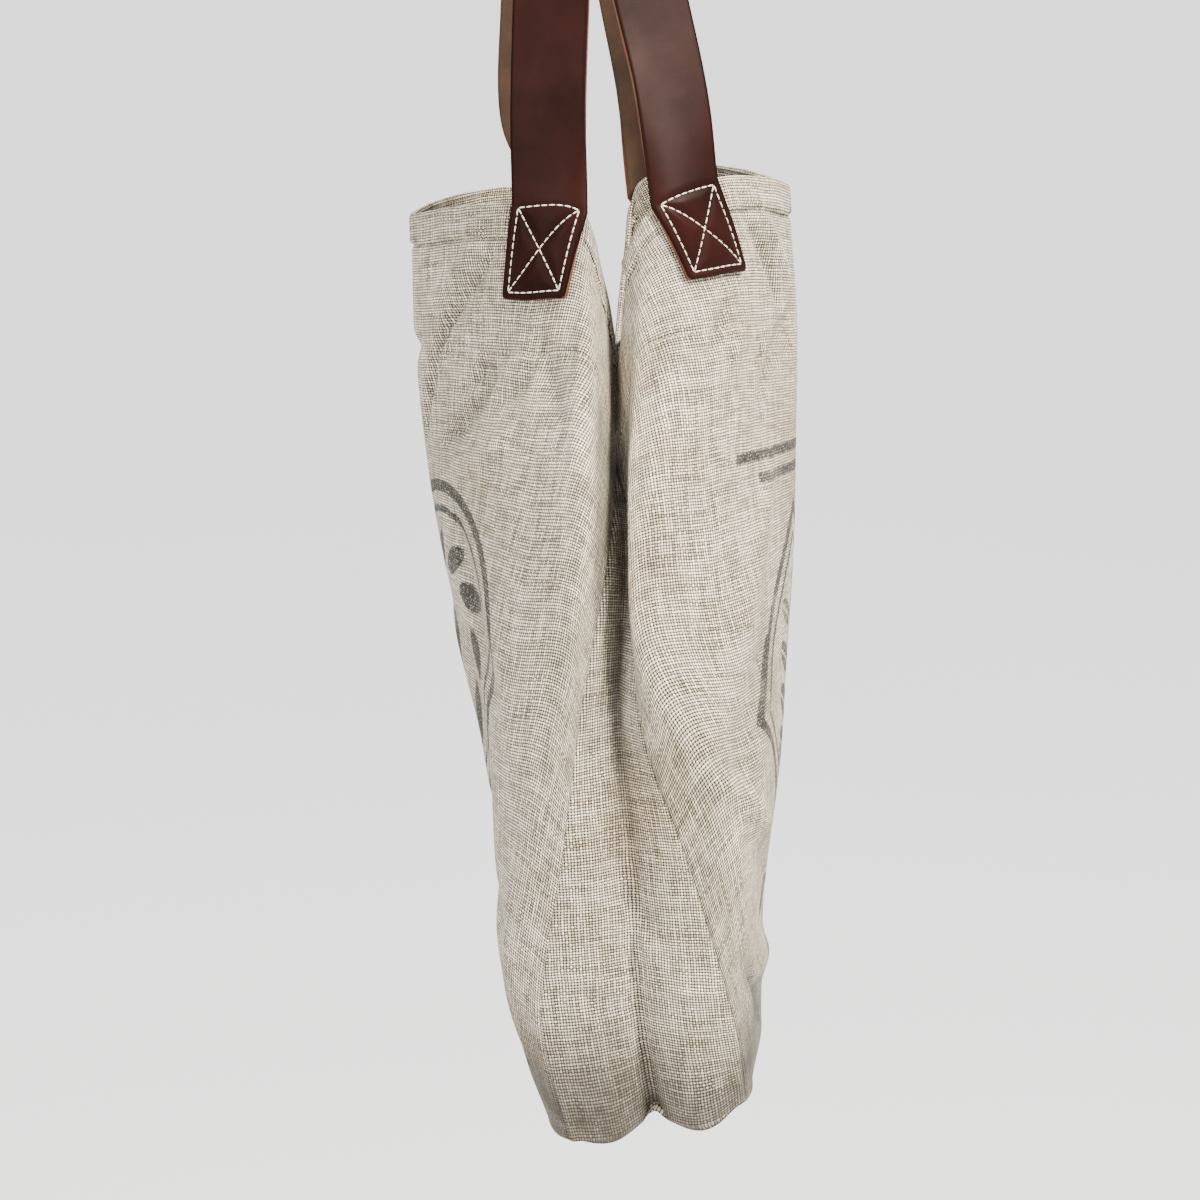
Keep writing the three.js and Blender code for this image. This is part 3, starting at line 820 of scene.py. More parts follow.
def sheet_mesh(name: str, outer: Grid, inner: Grid, flip: bool, uv: Grid) -> bpy.types.Object:
    """A closed sheet between two grids of points, with a UV map of its flat cut.

    Args:
        name: The piece's name.
        outer: The outer face, in millimetres, as rows of points.
        inner: The inner face, with the same rows.
        flip: Whether the rows run so that the outer face needs turning.
        uv: Each point's place on the flat cut, in millimetres.

    Returns:
        The piece, at the origin, smooth shaded. Its faces have material 0 outside, 1 inside and 2
        on the edges.
    """
    rows, columns = outer.shape[:2]
    count = rows * columns
    number = np.arange(count).reshape(rows, columns)
    outside = quads_of(number)
    inside = outside[:, [0, 3, 2, 1]] + count
    loop = np.concatenate([number[0, :-1], number[:-1, -1], number[-1, :0:-1], number[:0:-1, 0]])
    onward = np.roll(loop, -1)
    wall = np.stack([loop, onward, onward + count, loop + count], axis=-1)
    faces = np.concatenate([outside, inside, wall])
    if flip:
        faces = faces[:, ::-1]
    points = np.stack([outer, inner]).reshape(-1, 3) * MM
    places = np.concatenate([uv.reshape(-1, 2)] * 2) * MM
    piece = mesh_object(name, points, faces, places)
    kinds = np.repeat([0, 1, 2], [len(outside), len(inside), len(wall)])
    piece.data.polygons.foreach_set("material_index", kinds)
    return piece


def set_attribute(piece: bpy.types.Object, name: str, outer: Grid, inner: Grid) -> None:
    """Stores a number at each vertex of a sheet's outer and inner face, for its material to read."""
    attribute = piece.data.attributes.new(name, "FLOAT", "POINT")
    attribute.data.foreach_set("value", np.stack([outer, inner]).astype(np.float32).ravel())


def spread(start: float, *stretches: tuple[float, float]) -> Grid:
    """Rising places from a start over stretches, each given by its end and its spacing.

    Args:
        start: The first place.
        stretches: The stretches, in order.

    Returns:
        The places.
    """
    places = [np.array([start])]
    for end, spacing in stretches:
        steps = max(1, round((end - start) / spacing))
        places.append(np.linspace(start, end, steps + 1)[1:])
        start = end
    return np.concatenate(places)


@dataclass
class SackingPieces:
    """The two panels and the strip, of worn sacking, on a grid that is finer at seams and stitch rows."""

    front: Panel = field(
        default_factory=lambda: Panel(
            "front", FRONT_ROWS, FRONT_HEIGHTS, -1, -8, FRONT_CREASES, Design.WREATH, 123, 0.22
        )
    )
    back: Panel = field(
        default_factory=lambda: Panel(
            "back", BACK_ROWS, BACK_HEIGHTS, 1, -5, BACK_CREASES, Design.SPRIG, 137, 0
        )
    )
    coarse: float = 2.2
    fine: float = 1.0
    edge: float = 6.0
    rim_turns: int = 5
    no_ink: float = 99
    inside_grime_and_shade: float = 0.5

    def hang(self) -> Strip:
        """Works out the hanging faces of all the sacking.

        Returns:
            The strip, which knows its panels.
        """
        half, edge, fine, coarse = CUT.half, self.edge, self.fine, self.coarse
        across = spread(-half, (edge - half, fine), (half - edge, coarse), (half, fine))
        to_facing = ((CUT.hem + 5, fine), (CUT.facing - 5, coarse), (CUT.facing + 5, fine))
        to_base = ((CUT.strip_top, fine), (CUT.height - edge, coarse), (CUT.height, fine))
        downs = spread(0, *to_facing, *to_base)
        for panel in (self.front, self.back):
            panel.hang(across, downs)
        strip = Strip(self.front, self.back)
        strip.hang()
        SeamPull().close(strip)
        return strip

    def rounded(self, sheet: Grid, inward: Grid, up: Grid, radius: Grid) -> Grid:
        """A face with rows before its first one, which turn over the rim to the middle of the cloth.

        Args:
            sheet: The face.
            inward: The way into the cloth along its first row.
            up: The way up there.
            radius: Half the cloth's thickness there.

        Returns:
            The face with its new rows.
        """
        rows = []
        for k in range(self.rim_turns, 0, -1):
            angle = math.pi / 2 * k / self.rim_turns
            into, over = radius * (1 - math.cos(angle)), radius * math.sin(angle)
            rows.append(sheet[0] + inward * into[:, None] + up * over[:, None])
        return np.concatenate([np.array(rows), sheet])

    def panel_piece(self, panel: Panel, name: str) -> bpy.types.Object:
        """A panel's sheet, double where the facing is turned in, with a rounded rim.

        Args:
            panel: The hung panel.
            name: The piece's name.

        Returns:
            The piece.
        """
        u, v = np.meshgrid(panel.across, panel.downs)
        from_edge = np.minimum(CUT.half - np.abs(u), CUT.height - v)
        thick = sacking_depth(v) * (0.45 + 0.55 * eased(from_edge / 5))
        normals = normals_of(panel.face, panel.outward)
        inner = panel.face - normals * thick[..., None]
        up = unit(panel.face[0] - panel.face[2])
        radius = thick[0] / 2
        outer = self.rounded(panel.face, -normals[0], up, radius)
        inner = self.rounded(inner, normals[0], up, radius)
        down = np.concatenate([-np.linspace(2.2, 0.4, self.rim_turns), panel.downs])
        across, down = np.meshgrid(panel.across, down)
        piece = sheet_mesh(name, outer, inner, panel.outward > 0, np.stack([across, down], axis=-1))
        ink, grime_and_shade = Print(panel.design).edge(across, down), panel.grime_and_shade(across, down)
        set_attribute(piece, "ink", ink, np.full_like(ink, self.no_ink))
        # Dirt and painted shade, with a share of both on the inner face.
        set_attribute(piece, "grime_and_shade", grime_and_shade, grime_and_shade * self.inside_grime_and_shade)
        return piece

    def strip_piece(self, strip: Strip, name: str) -> bpy.types.Object:
        """The strip's sheet.

        Args:
            strip: The hung strip.
            name: The piece's name.

        Returns:
            The piece.
        """
        _, along, centred, _ = strip.flat()
        inner = strip.face - normals_of(strip.face, -1) * strip.thickness()[..., None]
        piece = sheet_mesh(name, strip.face, inner, False, np.stack([centred, along], axis=-1))
        ink, grime_and_shade = np.full_like(along, self.no_ink), strip.grime_and_shade()
        set_attribute(piece, "ink", ink, ink)
        # Dirt and painted shade, with a share of both on the inner face.
        set_attribute(piece, "grime_and_shade", grime_and_shade, grime_and_shade * self.inside_grime_and_shade)
        return piece


@dataclass
class Lining:
    """The cotton lining: one slack bag inside the sacking, caught under the facing's lower edge."""

    front: Panel
    back: Panel
    strip: Strip
    top: float = 72
    stride: int = 2
    ease: float = 1.6
    slack: float = 0.9
    closest: float = 0.4
    thick: float = 0.8
    billow: float = 66
    billow_from: float = 150
    corner_drop: float = 4
    rows: Grid = field(init=False)
    columns: Grid = field(init=False)

    def every(self, start: int, stop: int, *kept: int) -> Grid:
        """Rising numbers from start to stop by the stride, with some others kept among them."""
        return np.array(sorted({*range(start, stop, self.stride), *kept, stop}))

    def inward(self, panel: Panel, column: int) -> Grid:
        """The way into the bag at each point of a panel, shared with the next piece along its seams.

        Args:
            panel: The panel.
            column: The strip's column along that panel: 0 or -1.

        Returns:
            A direction for each point.
        """
        own = normals_of(panel.face, panel.outward)
        both = sum(normals_of(each.face, each.outward) for each in (self.front, self.back))
        beside = normals_of(self.strip.face, -1)
        way = -own
        for j in (0, -1):
            way[:, j] = -unit(both[:, j])
        for k, (i, j, _) in enumerate(self.strip.stations):
            way[i, j] = -unit(own[i, j] + beside[k, column])
        return way

    @staticmethod
    def clearance(panel: Panel) -> Grid:
        """How much deeper the sacking's folds reach beside each of its points than at it.

        Args:
            panel: The panel.

        Returns:
            A depth for each of its points.
        """
        reach = 2
        relief = ((panel.face - panel.smooth_face) * panel.normals).sum(axis=-1)
        padded = np.pad(relief, reach, mode="edge")
        rows, columns = relief.shape
        shifts = range(2 * reach + 1)
        beside = [padded[a : a + rows, b : b + columns] for a in shifts for b in shifts]
        return relief - np.min(beside, axis=0)

    def panel_layers(self, panel: Panel, column: int) -> list[Grid]:
        """The lining's outer and inner face behind one panel.

        Args:
            panel: The panel.
            column: The strip's column along that panel: 0 or -1.

        Returns:
            The two faces' points.
        """
        across, down = panel.across[self.columns], panel.downs[self.rows]
        rise = np.zeros(len(across))
        if panel is self.back:
            rise = self.billow * eased((-across - self.billow_from) / 18) * eased((CUT.half + across) / 5)
        fade = 1 - (down - down[0]) / (CUT.height - down[0])
        wanted = down[:, None] - rise[None, :] * fade[:, None]
        across = np.broadcast_to(across[None, :], wanted.shape)
        row_at = np.interp(wanted, panel.downs, np.arange(len(panel.downs)))
        places = (row_at, np.broadcast_to(self.columns, wanted.shape))
        face = on_grid(panel.face, *places)
        way = unit(on_grid(self.inward(panel, column), *places))
        from_edge = np.minimum(CUT.half - np.abs(across), CUT.height - wanted)
        sacking = sacking_depth(wanted) * (0.6 + 0.4 * eased(from_edge / 5))
        slack = self.slack * (1 + np.sin(across / 19 + wanted / 57) * np.sin(wanted / 31))
        room = on_grid(self.clearance(panel)[..., None], *places)[..., 0]
        ease = self.ease * eased((wanted - 62) / 14) + slack + room
        # There is less room in the flat fold beside each seam's upper part.
        tight = 1 - 0.85 * eased((np.abs(across) - 150) / 20) * eased((260 - wanted) / 60)
        corner = 1.6 * (1 - eased(from_edge / 6)) * eased((115 - wanted) / 25)
        ease = self.closest + ease * tight * eased(from_edge / 25) + corner
        return [face + way * (sacking + ease + extra)[..., None] for extra in (0, self.thick)]

    def strip_depth(self, across: Grid, width: Grid, to_corner: Grid) -> Grid:
        """How deep the lining's outer face lies inside the strip's; most at the corners of the base.

        Args:
            across: Places across the strip.
            width: Its width there.
            to_corner: The way along it to the base corner.

        Returns:
            A depth for each place.
        """
        from_edge = np.minimum(across, width - across)
        sacking = CUT.sacking * (0.6 + 0.4 * eased(from_edge / 5))
        slack = (self.ease + self.slack) * eased(from_edge / 25)
        notch = bell(across - width / 2, 12) * bell(to_corner, 40)
        dropped = bell(to_corner, 70) * eased(from_edge / 20) + notch
        return sacking + self.closest + slack + self.corner_drop * dropped

    def strip_layers(self, panels: list[list[Grid]]) -> tuple[list[Grid], Grid]:
        """The lining's outer and inner face inside the strip, and their places on the flat cut.

        Args:
            panels: The outer and inner face behind the front and the back panel.

        Returns:
            The two faces' points, and one place for each point.
        """
        row_of = {i: a for a, i in enumerate(self.rows.tolist())}
        column_of = {j: b for b, j in enumerate(self.columns.tolist())}
        kept = [k for k, (i, j, _) in enumerate(self.strip.stations) if i in row_of and j in column_of]
        places = np.arange(0, self.strip.columns + 1, self.stride)
        width, lengths = self.strip.width[kept][:, None], self.strip.lengths[kept]
        across = self.strip.shares[places][None, :] * width
        to_corner = np.abs(np.abs(lengths - lengths.mean()) - CUT.half)[:, None]
        deep = self.strip_depth(across, width, to_corner)
        base = self.strip.face[kept][:, places]
        way = -normals_of(self.strip.face, -1)[kept][:, places]
        # In narrow folds and at the corners a row's points go nearly the same way, so that none cross.
        own = 0.3 + 0.6 * (eased((to_corner - 120) / 80) * eased((width - 14) / 12))[..., None]
        way = unit(way * own + way.mean(axis=1, keepdims=True) * (1 - own))
        reach = 6
        padded = np.pad(way, ((reach, reach), (0, 0), (0, 0)), mode="edge")
        way = unit(sum(padded[k : k + len(way)] for k in range(2 * reach + 1)))
        layers = []
        for side, extra in enumerate((0, self.thick)):
            sheet = base + way * (deep + extra)[..., None]
            for b, k in enumerate(kept):
                i, j, _ = self.strip.stations[k]
                for end in (0, -1):
                    sheet[b, end] = panels[end][side][row_of[i], column_of[j]]
            sheet[0], sheet[-1] = sheet[0, 0], sheet[-1, 0]
            layers.append(sheet)
        along = np.repeat(lengths[:, None], len(places), axis=1)
        return layers, np.stack([across - width / 2, along], axis=-1)

    def build(self, name: str) -> bpy.types.Object:
        """Makes the lining as one closed sheet, welded along its seams.

        Args:
            name: The piece's name.

        Returns:
            The piece.
        """
        downs, last_column = self.front.downs, len(self.front.across) - 1
        first_row = int(np.searchsorted(downs, CUT.strip_top))
        self.rows = self.every(int(np.searchsorted(downs, self.top)), len(downs) - 1, first_row)
        self.columns = self.every(0, last_column)
        panels = [self.panel_layers(self.front, 0), self.panel_layers(self.back, -1)]
        joined = self.rows <= first_row
        for side in (0, 1):
            for c in (0, -1):
                middle = (panels[0][side][joined, c] + panels[1][side][joined, c]) / 2
                panels[0][side][joined, c] = panels[1][side][joined, c] = middle
        strips, strip_uv = self.strip_layers(panels)
        flat = np.stack(np.meshgrid(self.front.across[self.columns], downs[self.rows]), axis=-1)
        points, faces, uv = [], [], []
        total = 2 * flat[..., 0].size + strip_uv[..., 0].size
        offset = 0
        for side in (0, 1):
            sheets = (panels[0][side], panels[1][side], strips[side])
            for sheet, cut, turned in zip(sheets, (flat, flat, strip_uv), (False, True, False)):
                number = offset + np.arange(cut[..., 0].size).reshape(cut.shape[:2])
                quads, top = quads_of(number), number[0]
                if side == 0 and cut is flat:
                    wall = np.stack([top[:-1], top[1:], top[1:] + total, top[:-1] + total], axis=-1)
                    faces.append(wall[:, ::-1] if turned else wall)
                faces.append(quads[:, ::-1] if turned != bool(side) else quads)
                points.append(sheet.reshape(-1, 3))
                uv.append(cut.reshape(-1, 2))
                offset += number.size
        return self.weld(name, np.concatenate(points), np.concatenate(faces), np.concatenate(uv))

    @staticmethod
    def weld(name: str, points: Grid, faces: Grid, uv: Grid) -> bpy.types.Object:
        """Joins the points that share a place, and leaves out the faces that this closes up.

        Args:
            name: The piece's name.
            points: The points of all the sheets.
            faces: Their faces.
            uv: Each point's place on the flat cut.

        Returns:
            The piece.
        """
        _, first, same = np.unique(np.round(points, 3), axis=0, return_index=True, return_inverse=True)
        joined = same.reshape(-1)[faces].tolist()
        corners = [[v for k, v in enumerate(face) if v != face[k - 1]] for face in joined]
        whole = [face for face in corners if len(set(face)) == len(face) > 2]
        return mesh_object(name, points[first] * MM, whole, uv[first] * MM)


@dataclass
class Strap:
    """A leather strap, sewn on at both ends with a box and a cross, and hanging free between."""

    panel: Panel
    column: str
    radius: float
    row_step: float = 1.0
    free_step: float = 3.0
    end_rows: int = 60
    columns: int = 37
    top_points: int = 26
    settles: float = 60
    corner: float = 3.0
    box_half: float = 15
    box_top: float = 2.0
    box_bottom: float = 41.5
    stitch_points: int = 90
    puffed: float = 0.8
    puffed_beside: float = 0.12
    stitch_sink: float = 0.4
    side_round: float = 0.42
    end_round: float = 0.45
    offsets: Grid = field(init=False)
    ends: dict[Side, tuple[Grid, Grid]] = field(init=False)
    outer: Grid = field(init=False)
    outer_normals: Grid = field(init=False)
    below: Grid = field(init=False)

    def sewn(self, side: Side) -> tuple[Grid, Grid]:
        """The strap's inner face where it is sewn, from the rim down, and its outward directions.

        Args:
            side: The end on the near or the far side.

        Returns:
            The points and the directions, a row for each level.
        """
        u = CUT.strap_from_middle + self.offsets
        v = np.arange(0, CUT.strap_sewn + self.row_step / 2, self.row_step)
        face = self.panel.points(u if side is Side.NEAR else -u[::-1], np.append(v, v[-1] + 2))
        normals = normals_of(face, self.panel.outward)[: len(v)]
        face = face[: len(v)]
        if side is Side.FAR:
            face, normals = face[:, ::-1], normals[:, ::-1]
        return face + normals * CUT.gap, normals

    def touch(self, rim: Grid) -> float:
        """The angle at which a straight leg from a rim meets the round top."""
        x, z = abs(rim[0]), rim[2] + CUT.hook_radius
        return math.atan2(z, x) + math.acos(self.radius / math.hypot(x, z))

    def loop(self, near: Grid, far: Grid) -> Grid:
        """The strap's middle from rim to rim, seen from the front: two straight legs and a round top.

        Args:
            near: The near rim's point.
            far: The far rim's point.

        Returns:
            The path's points, with no depth yet.
        """
        turns = np.linspace(self.touch(near), math.pi - self.touch(far), self.top_points)
        lift = self.radius * np.sin(turns) - CUT.hook_radius
        top = np.column_stack([self.radius * np.cos(turns), np.zeros(self.top_points), lift])
        legs = []
        for rim, touched in ((near, top[0]), (far, top[-1])):
            count = int(np.linalg.norm(rim - touched) / self.free_step)
            share = np.linspace(0, 1, count + 1)[:, None]
            legs.append(rim * [1, 0, 1] * (1 - share) + touched * share)
        return np.concatenate([legs[0], top[1:-1], legs[1][::-1]])

    def surface(self) -> tuple[Grid, Grid, Grid]:
        """The whole inner face of the strap, its outward directions, and the length along it.

        Returns:
            The points, the directions, and a length for each row of them.
        """
        sign = self.panel.outward
        rims = {}
        for side, (face, normals) in self.ends.items():
            middle = (face[0, 0] + face[0, -1]) / 2
            rims[side] = (face[0], normals[0], middle, unit(face[0, -1] - face[0, 0]))
        near_rim, far_rim = rims[Side.NEAR][2], rims[Side.FAR][2]
        path = self.loop(near_rim, far_rim)
        along = lengths_along(path)
        total = along[-1]
        shares = [0, *[row.share for row in STRAP_ROWS], 1]
        ys = [near_rim[1], *[getattr(row, self.column) for row in STRAP_ROWS], far_rim[1]]
        path[:, 1] = smooth(shares, ys, along / total)[:, 0]
        top = np.array([0, -sign, 0])
        tangents = unit(np.gradient(path, axis=0))
        points, normals = [], []
        for p, tangent, length in zip(path, tangents, along):
            share = length / total
            row, row_normals, middle, rim_width = rims[Side.NEAR if share < 0.5 else Side.FAR]
            upward = eased(1 - abs(1 - 2 * share))
            fade = eased(1 - min(length, total - length) / self.settles)
            width = rim_width * (1 - upward) + top * upward
            width = unit(width + tangent * ((fade - 1) * np.dot(width, tangent)))
            normal = unit(np.cross(width, tangent) * -sign)
            bent = row - middle - np.outer(self.offsets, rim_width)
            points.append(p + np.outer(self.offsets, width) + bent * fade)
            normals.append(unit(normal * (1 - fade) + row_normals * fade))
        near_face, near_normals = self.ends[Side.NEAR]
        far_face, far_normals = self.ends[Side.FAR]
        face = np.concatenate([near_face[:0:-1], np.array(points), far_face[1:]])
        normal = np.concatenate([near_normals[:0:-1], np.array(normals), far_normals[1:]])
        sewn = np.arange(1, len(near_face)) * self.row_step
        return face, normal, np.concatenate([-sewn[::-1], along, total + sewn])

    def puff(self, across: Grid, below: Grid) -> Grid:
        """How far the leather stands up between its lines of stitches, and sinks under them.

        Args:
            across: Places across the strap.
            below: Places below the rim.

        Returns:
            The height at each place, in millimetres.
        """
        middle, tall = (self.box_top + self.box_bottom) / 2, (self.box_bottom - self.box_top) / 2
        down = below - middle
        rising = np.abs(across * tall - down * self.box_half)
        falling = np.abs(across * tall + down * self.box_half)
        cross = np.minimum(rising, falling) / math.hypot(self.box_half, tall)
        inside = np.minimum(self.box_half - np.abs(across), tall - np.abs(down))
        nearest = np.minimum(np.abs(inside), np.where(inside > 0, cross, np.inf))
        swell = np.where(
            inside > 0, self.puffed * eased(nearest / 5), self.puffed_beside * eased(nearest / 3)
        )
        return (swell - self.stitch_sink * bell(nearest, 1.1)) * eased((below + 6) / 6)

    def build(self, name: str) -> bpy.types.Object:
        """Makes the strap as one closed sheet with eased edges and slightly rounded ends.

        Args:
            name: The piece's name.

        Returns:
            The piece.
        """
        half = CUT.strap_width / 2
        edge = half - np.array([0.6, 0.25, 0])
        self.offsets = np.concatenate([-edge[::-1], np.linspace(1 - half, half - 1, self.columns), edge])
        self.ends = {side: self.sewn(side) for side in (Side.NEAR, Side.FAR)}
        face, normal, along = self.surface()
        self.below = np.maximum(-along, along - (along[-1] - CUT.strap_sewn))
        into = np.clip(self.corner - CUT.strap_sewn + self.below, 0, self.corner)
        narrow = self.corner - np.sqrt(self.corner**2 - into**2)
        middle = face.mean(axis=1, keepdims=True)
        face = middle + (face - middle) * (1 - narrow * 0.8 / half)[:, None, None]
        side_drop = self.side_round * eased(np.abs(self.offsets) - half + 1)
        end_drop = self.end_round * eased((self.below - CUT.strap_sewn + 1.2) / 1.2)
        drop = np.maximum(side_drop[None, :], end_drop[:, None])
        flat = eased((half - np.abs(self.offsets)) / 2)[None, :]
        height = CUT.strap_thick - drop + self.puff(self.offsets[None, :], self.below[:, None]) * flat
        self.outer, self.outer_normals = face + normal * height[..., None], normal
        inner = face + normal * (drop * 0.9)[..., None]
        uv = np.stack(np.meshgrid(self.offsets, along), axis=-1)
        return sheet_mesh(name, self.outer, inner, self.panel.outward < 0, uv)

    def seam_lines(self) -> list[tuple[tuple[float, float], tuple[float, float]]]:
        """The box's four sides and its two diagonals, as places across and below the rim.

        Returns:
            Each line's two ends.
        """
        left, right, top, bottom = -self.box_half, self.box_half, self.box_top, self.box_bottom
        corners = [(left, top), (right, top), (right, bottom), (left, bottom)]
        sides = list(zip(corners, corners[1:] + corners[:1]))
        return [*sides, (corners[0], corners[2]), (corners[1], corners[3])]

    def on_face(self, side: Side, across: Grid, below: Grid) -> tuple[Grid, Grid]:
        """Points and directions on the sewn leather's face, at places across and below the rim.

        Args:
            side: The end of the strap.
            across: Places across it.
            below: Places below the rim.

        Returns:
            The points and the directions.
        """
        rows = np.arange(len(self.below))
        near = side is Side.NEAR
        part = rows < self.end_rows if near else rows >= len(rows) - self.end_rows
        order = -1 if near else 1
        row_at = np.interp(below * order, self.below[part] * order, rows[part])
        column_at = np.interp(across, self.offsets, np.arange(len(self.offsets)))
        return on_grid(self.outer, row_at, column_at), unit(on_grid(self.outer_normals, row_at, column_at))

    def sew_on(self, thread: Stitching) -> None:
        """Sews the box and the cross at both ends.

        Args:
            thread: The stitching to add to.
        """
        share = np.linspace(0, 1, self.stitch_points)
        for side in self.ends:
            for (x0, y0), (x1, y1) in self.seam_lines():
                thread.sew(*self.on_face(side, x0 + (x1 - x0) * share, y0 + (y1 - y0) * share))


@dataclass
class Stitching:
    """Lines of sewing thread: small arched stitches, with a dark cup at each of their ends as painted shade
    in the needle hole.
    """

    length: float = 3.1
    pitch: float = 4.0
    width: float = 0.7
    rise: float = 0.35
    hole_shade: float = 0.55
    sides: int = 8
    rings: int = 6
    overlap: float = 0.3
    sunk: float = 0.05
    flatness: float = 0.75
    hole_tall: float = 0.24
    starts: list[Grid] = field(default_factory=list)
    ends: list[Grid] = field(default_factory=list)
    ups: list[Grid] = field(default_factory=list)

    def template(self) -> tuple[Grid, Grid]:
        """One stitch a millimetre long and wide along X, drawn out from a sphere as by hand.

        Returns:
            Its points and its triangles.
        """
        bpy.ops.object.select_all(action="DESELECT")
        bpy.ops.mesh.primitive_uv_sphere_add(segments=self.sides, ring_count=self.rings, radius=0.5)
        ball = bpy.context.object
        bpy.ops.object.mode_set(mode="EDIT")
        bpy.ops.mesh.select_all(action="SELECT")
        bpy.ops.transform.rotate(value=math.pi / 2, orient_axis="Y", center_override=(0, 0, 0))
        bpy.ops.mesh.quads_convert_to_tris()
        bpy.ops.mesh.normals_make_consistent(inside=False)
        bpy.ops.object.mode_set(mode="OBJECT")
        points = np.array([vertex.co for vertex in ball.data.vertices])
        points[:, 0] = np.sign(points[:, 0]) * np.abs(points[:, 0] * 2) ** 0.7 / 2
        # The triangles come in any order, so they are sorted to be the same in every run.
        triangles = []
        for face in ball.data.polygons:
            corners = list(face.vertices)
            first = corners.index(min(corners))
            triangles.append(corners[first:] + corners[:first])
        bpy.data.objects.remove(ball)
        return points, np.array(sorted(triangles))

    def sew(self, line: Grid, up: Grid) -> None:
        """Adds a row of stitches along a line on a surface.

        Args:
            line: The line's points, in millimetres, close together.
            up: The surface's outward direction at each of them.
        """
        along = lengths_along(line)
        count = max(1, round(along[-1] / self.pitch))
        pitch = along[-1] / count
        length = min(self.length, pitch * 0.8)
        middles = (np.arange(count) + 0.5) * pitch
        self.starts.append(at_lengths(middles - length / 2, along, line))
        self.ends.append(at_lengths(middles + length / 2, along, line))
        self.ups.append(unit(at_lengths(middles, along, up)))

    def build(self, name: str) -> bpy.types.Object:
        """Makes all the stitches as one piece, with material 0 on the thread and 1 on the dark cups of
        painted shade in the needle holes.

        Args:
            name: The piece's name.

        Returns:
            The piece.
        """
        ball, ball_faces = self.template()
        start, end, up = (np.concatenate(part) for part in (self.starts, self.ends, self.ups))
        way = unit(end - start)
        side = unit(np.cross(up, way))
        up = np.cross(way, side)
        long = np.linalg.norm(end - start, axis=1)[:, None] + self.overlap
        x, y, z = ball.T
        arch = self.rise * (1 - (2 * x) ** 2) - self.sunk

        def placed(at: Grid, frames: list[Grid], sizes: list[Grid]) -> Grid:
            """Copies of the template at each place, in their own frame and size."""
            return at[:, None] + sum(frame[:, None] * size[..., None] for frame, size in zip(frames, sizes))

        thread_sizes = [x * long, (y * self.width)[None], (z * self.width * self.flatness + arch)[None]]
        threads = placed((start + end) / 2, [way, side, up], thread_sizes)
        # Dark cups just past each stitch's ends: painted shade in the needle holes.
        places = np.concatenate([start - way * 0.25, end + way * 0.25])
        frames = [np.concatenate([part, part]) for part in (way, side, up)]
        hole_sizes = [x * self.hole_shade * 1.5, y * self.hole_shade * 2, z * self.hole_tall + 0.02]
        points = np.concatenate([threads, placed(places, frames, [size[None] for size in hole_sizes])])
        faces = ball_faces[None] + (np.arange(len(points)) * len(ball))[:, None, None]
        piece = mesh_object(name, points.reshape(-1, 3) * MM, faces.reshape(-1, 3))
        kinds = np.repeat(np.arange(len(points)) >= len(threads), len(ball_faces)).astype(int)
        piece.data.polygons.foreach_set("material_index", kinds)
        return piece


class Design(Enum):
    """The worn design on each panel."""

    WREATH = "a wreath in a ring"
    SPRIG = "a sprig in a lozenge"


def turned(x: Grid, y: Grid, angle: float) -> tuple[Grid, Grid]:
    """Places as measured along and beside a line that is turned by an angle."""
    c, s = math.cos(angle), math.sin(angle)
    return x * c + y * s, y * c - x * s


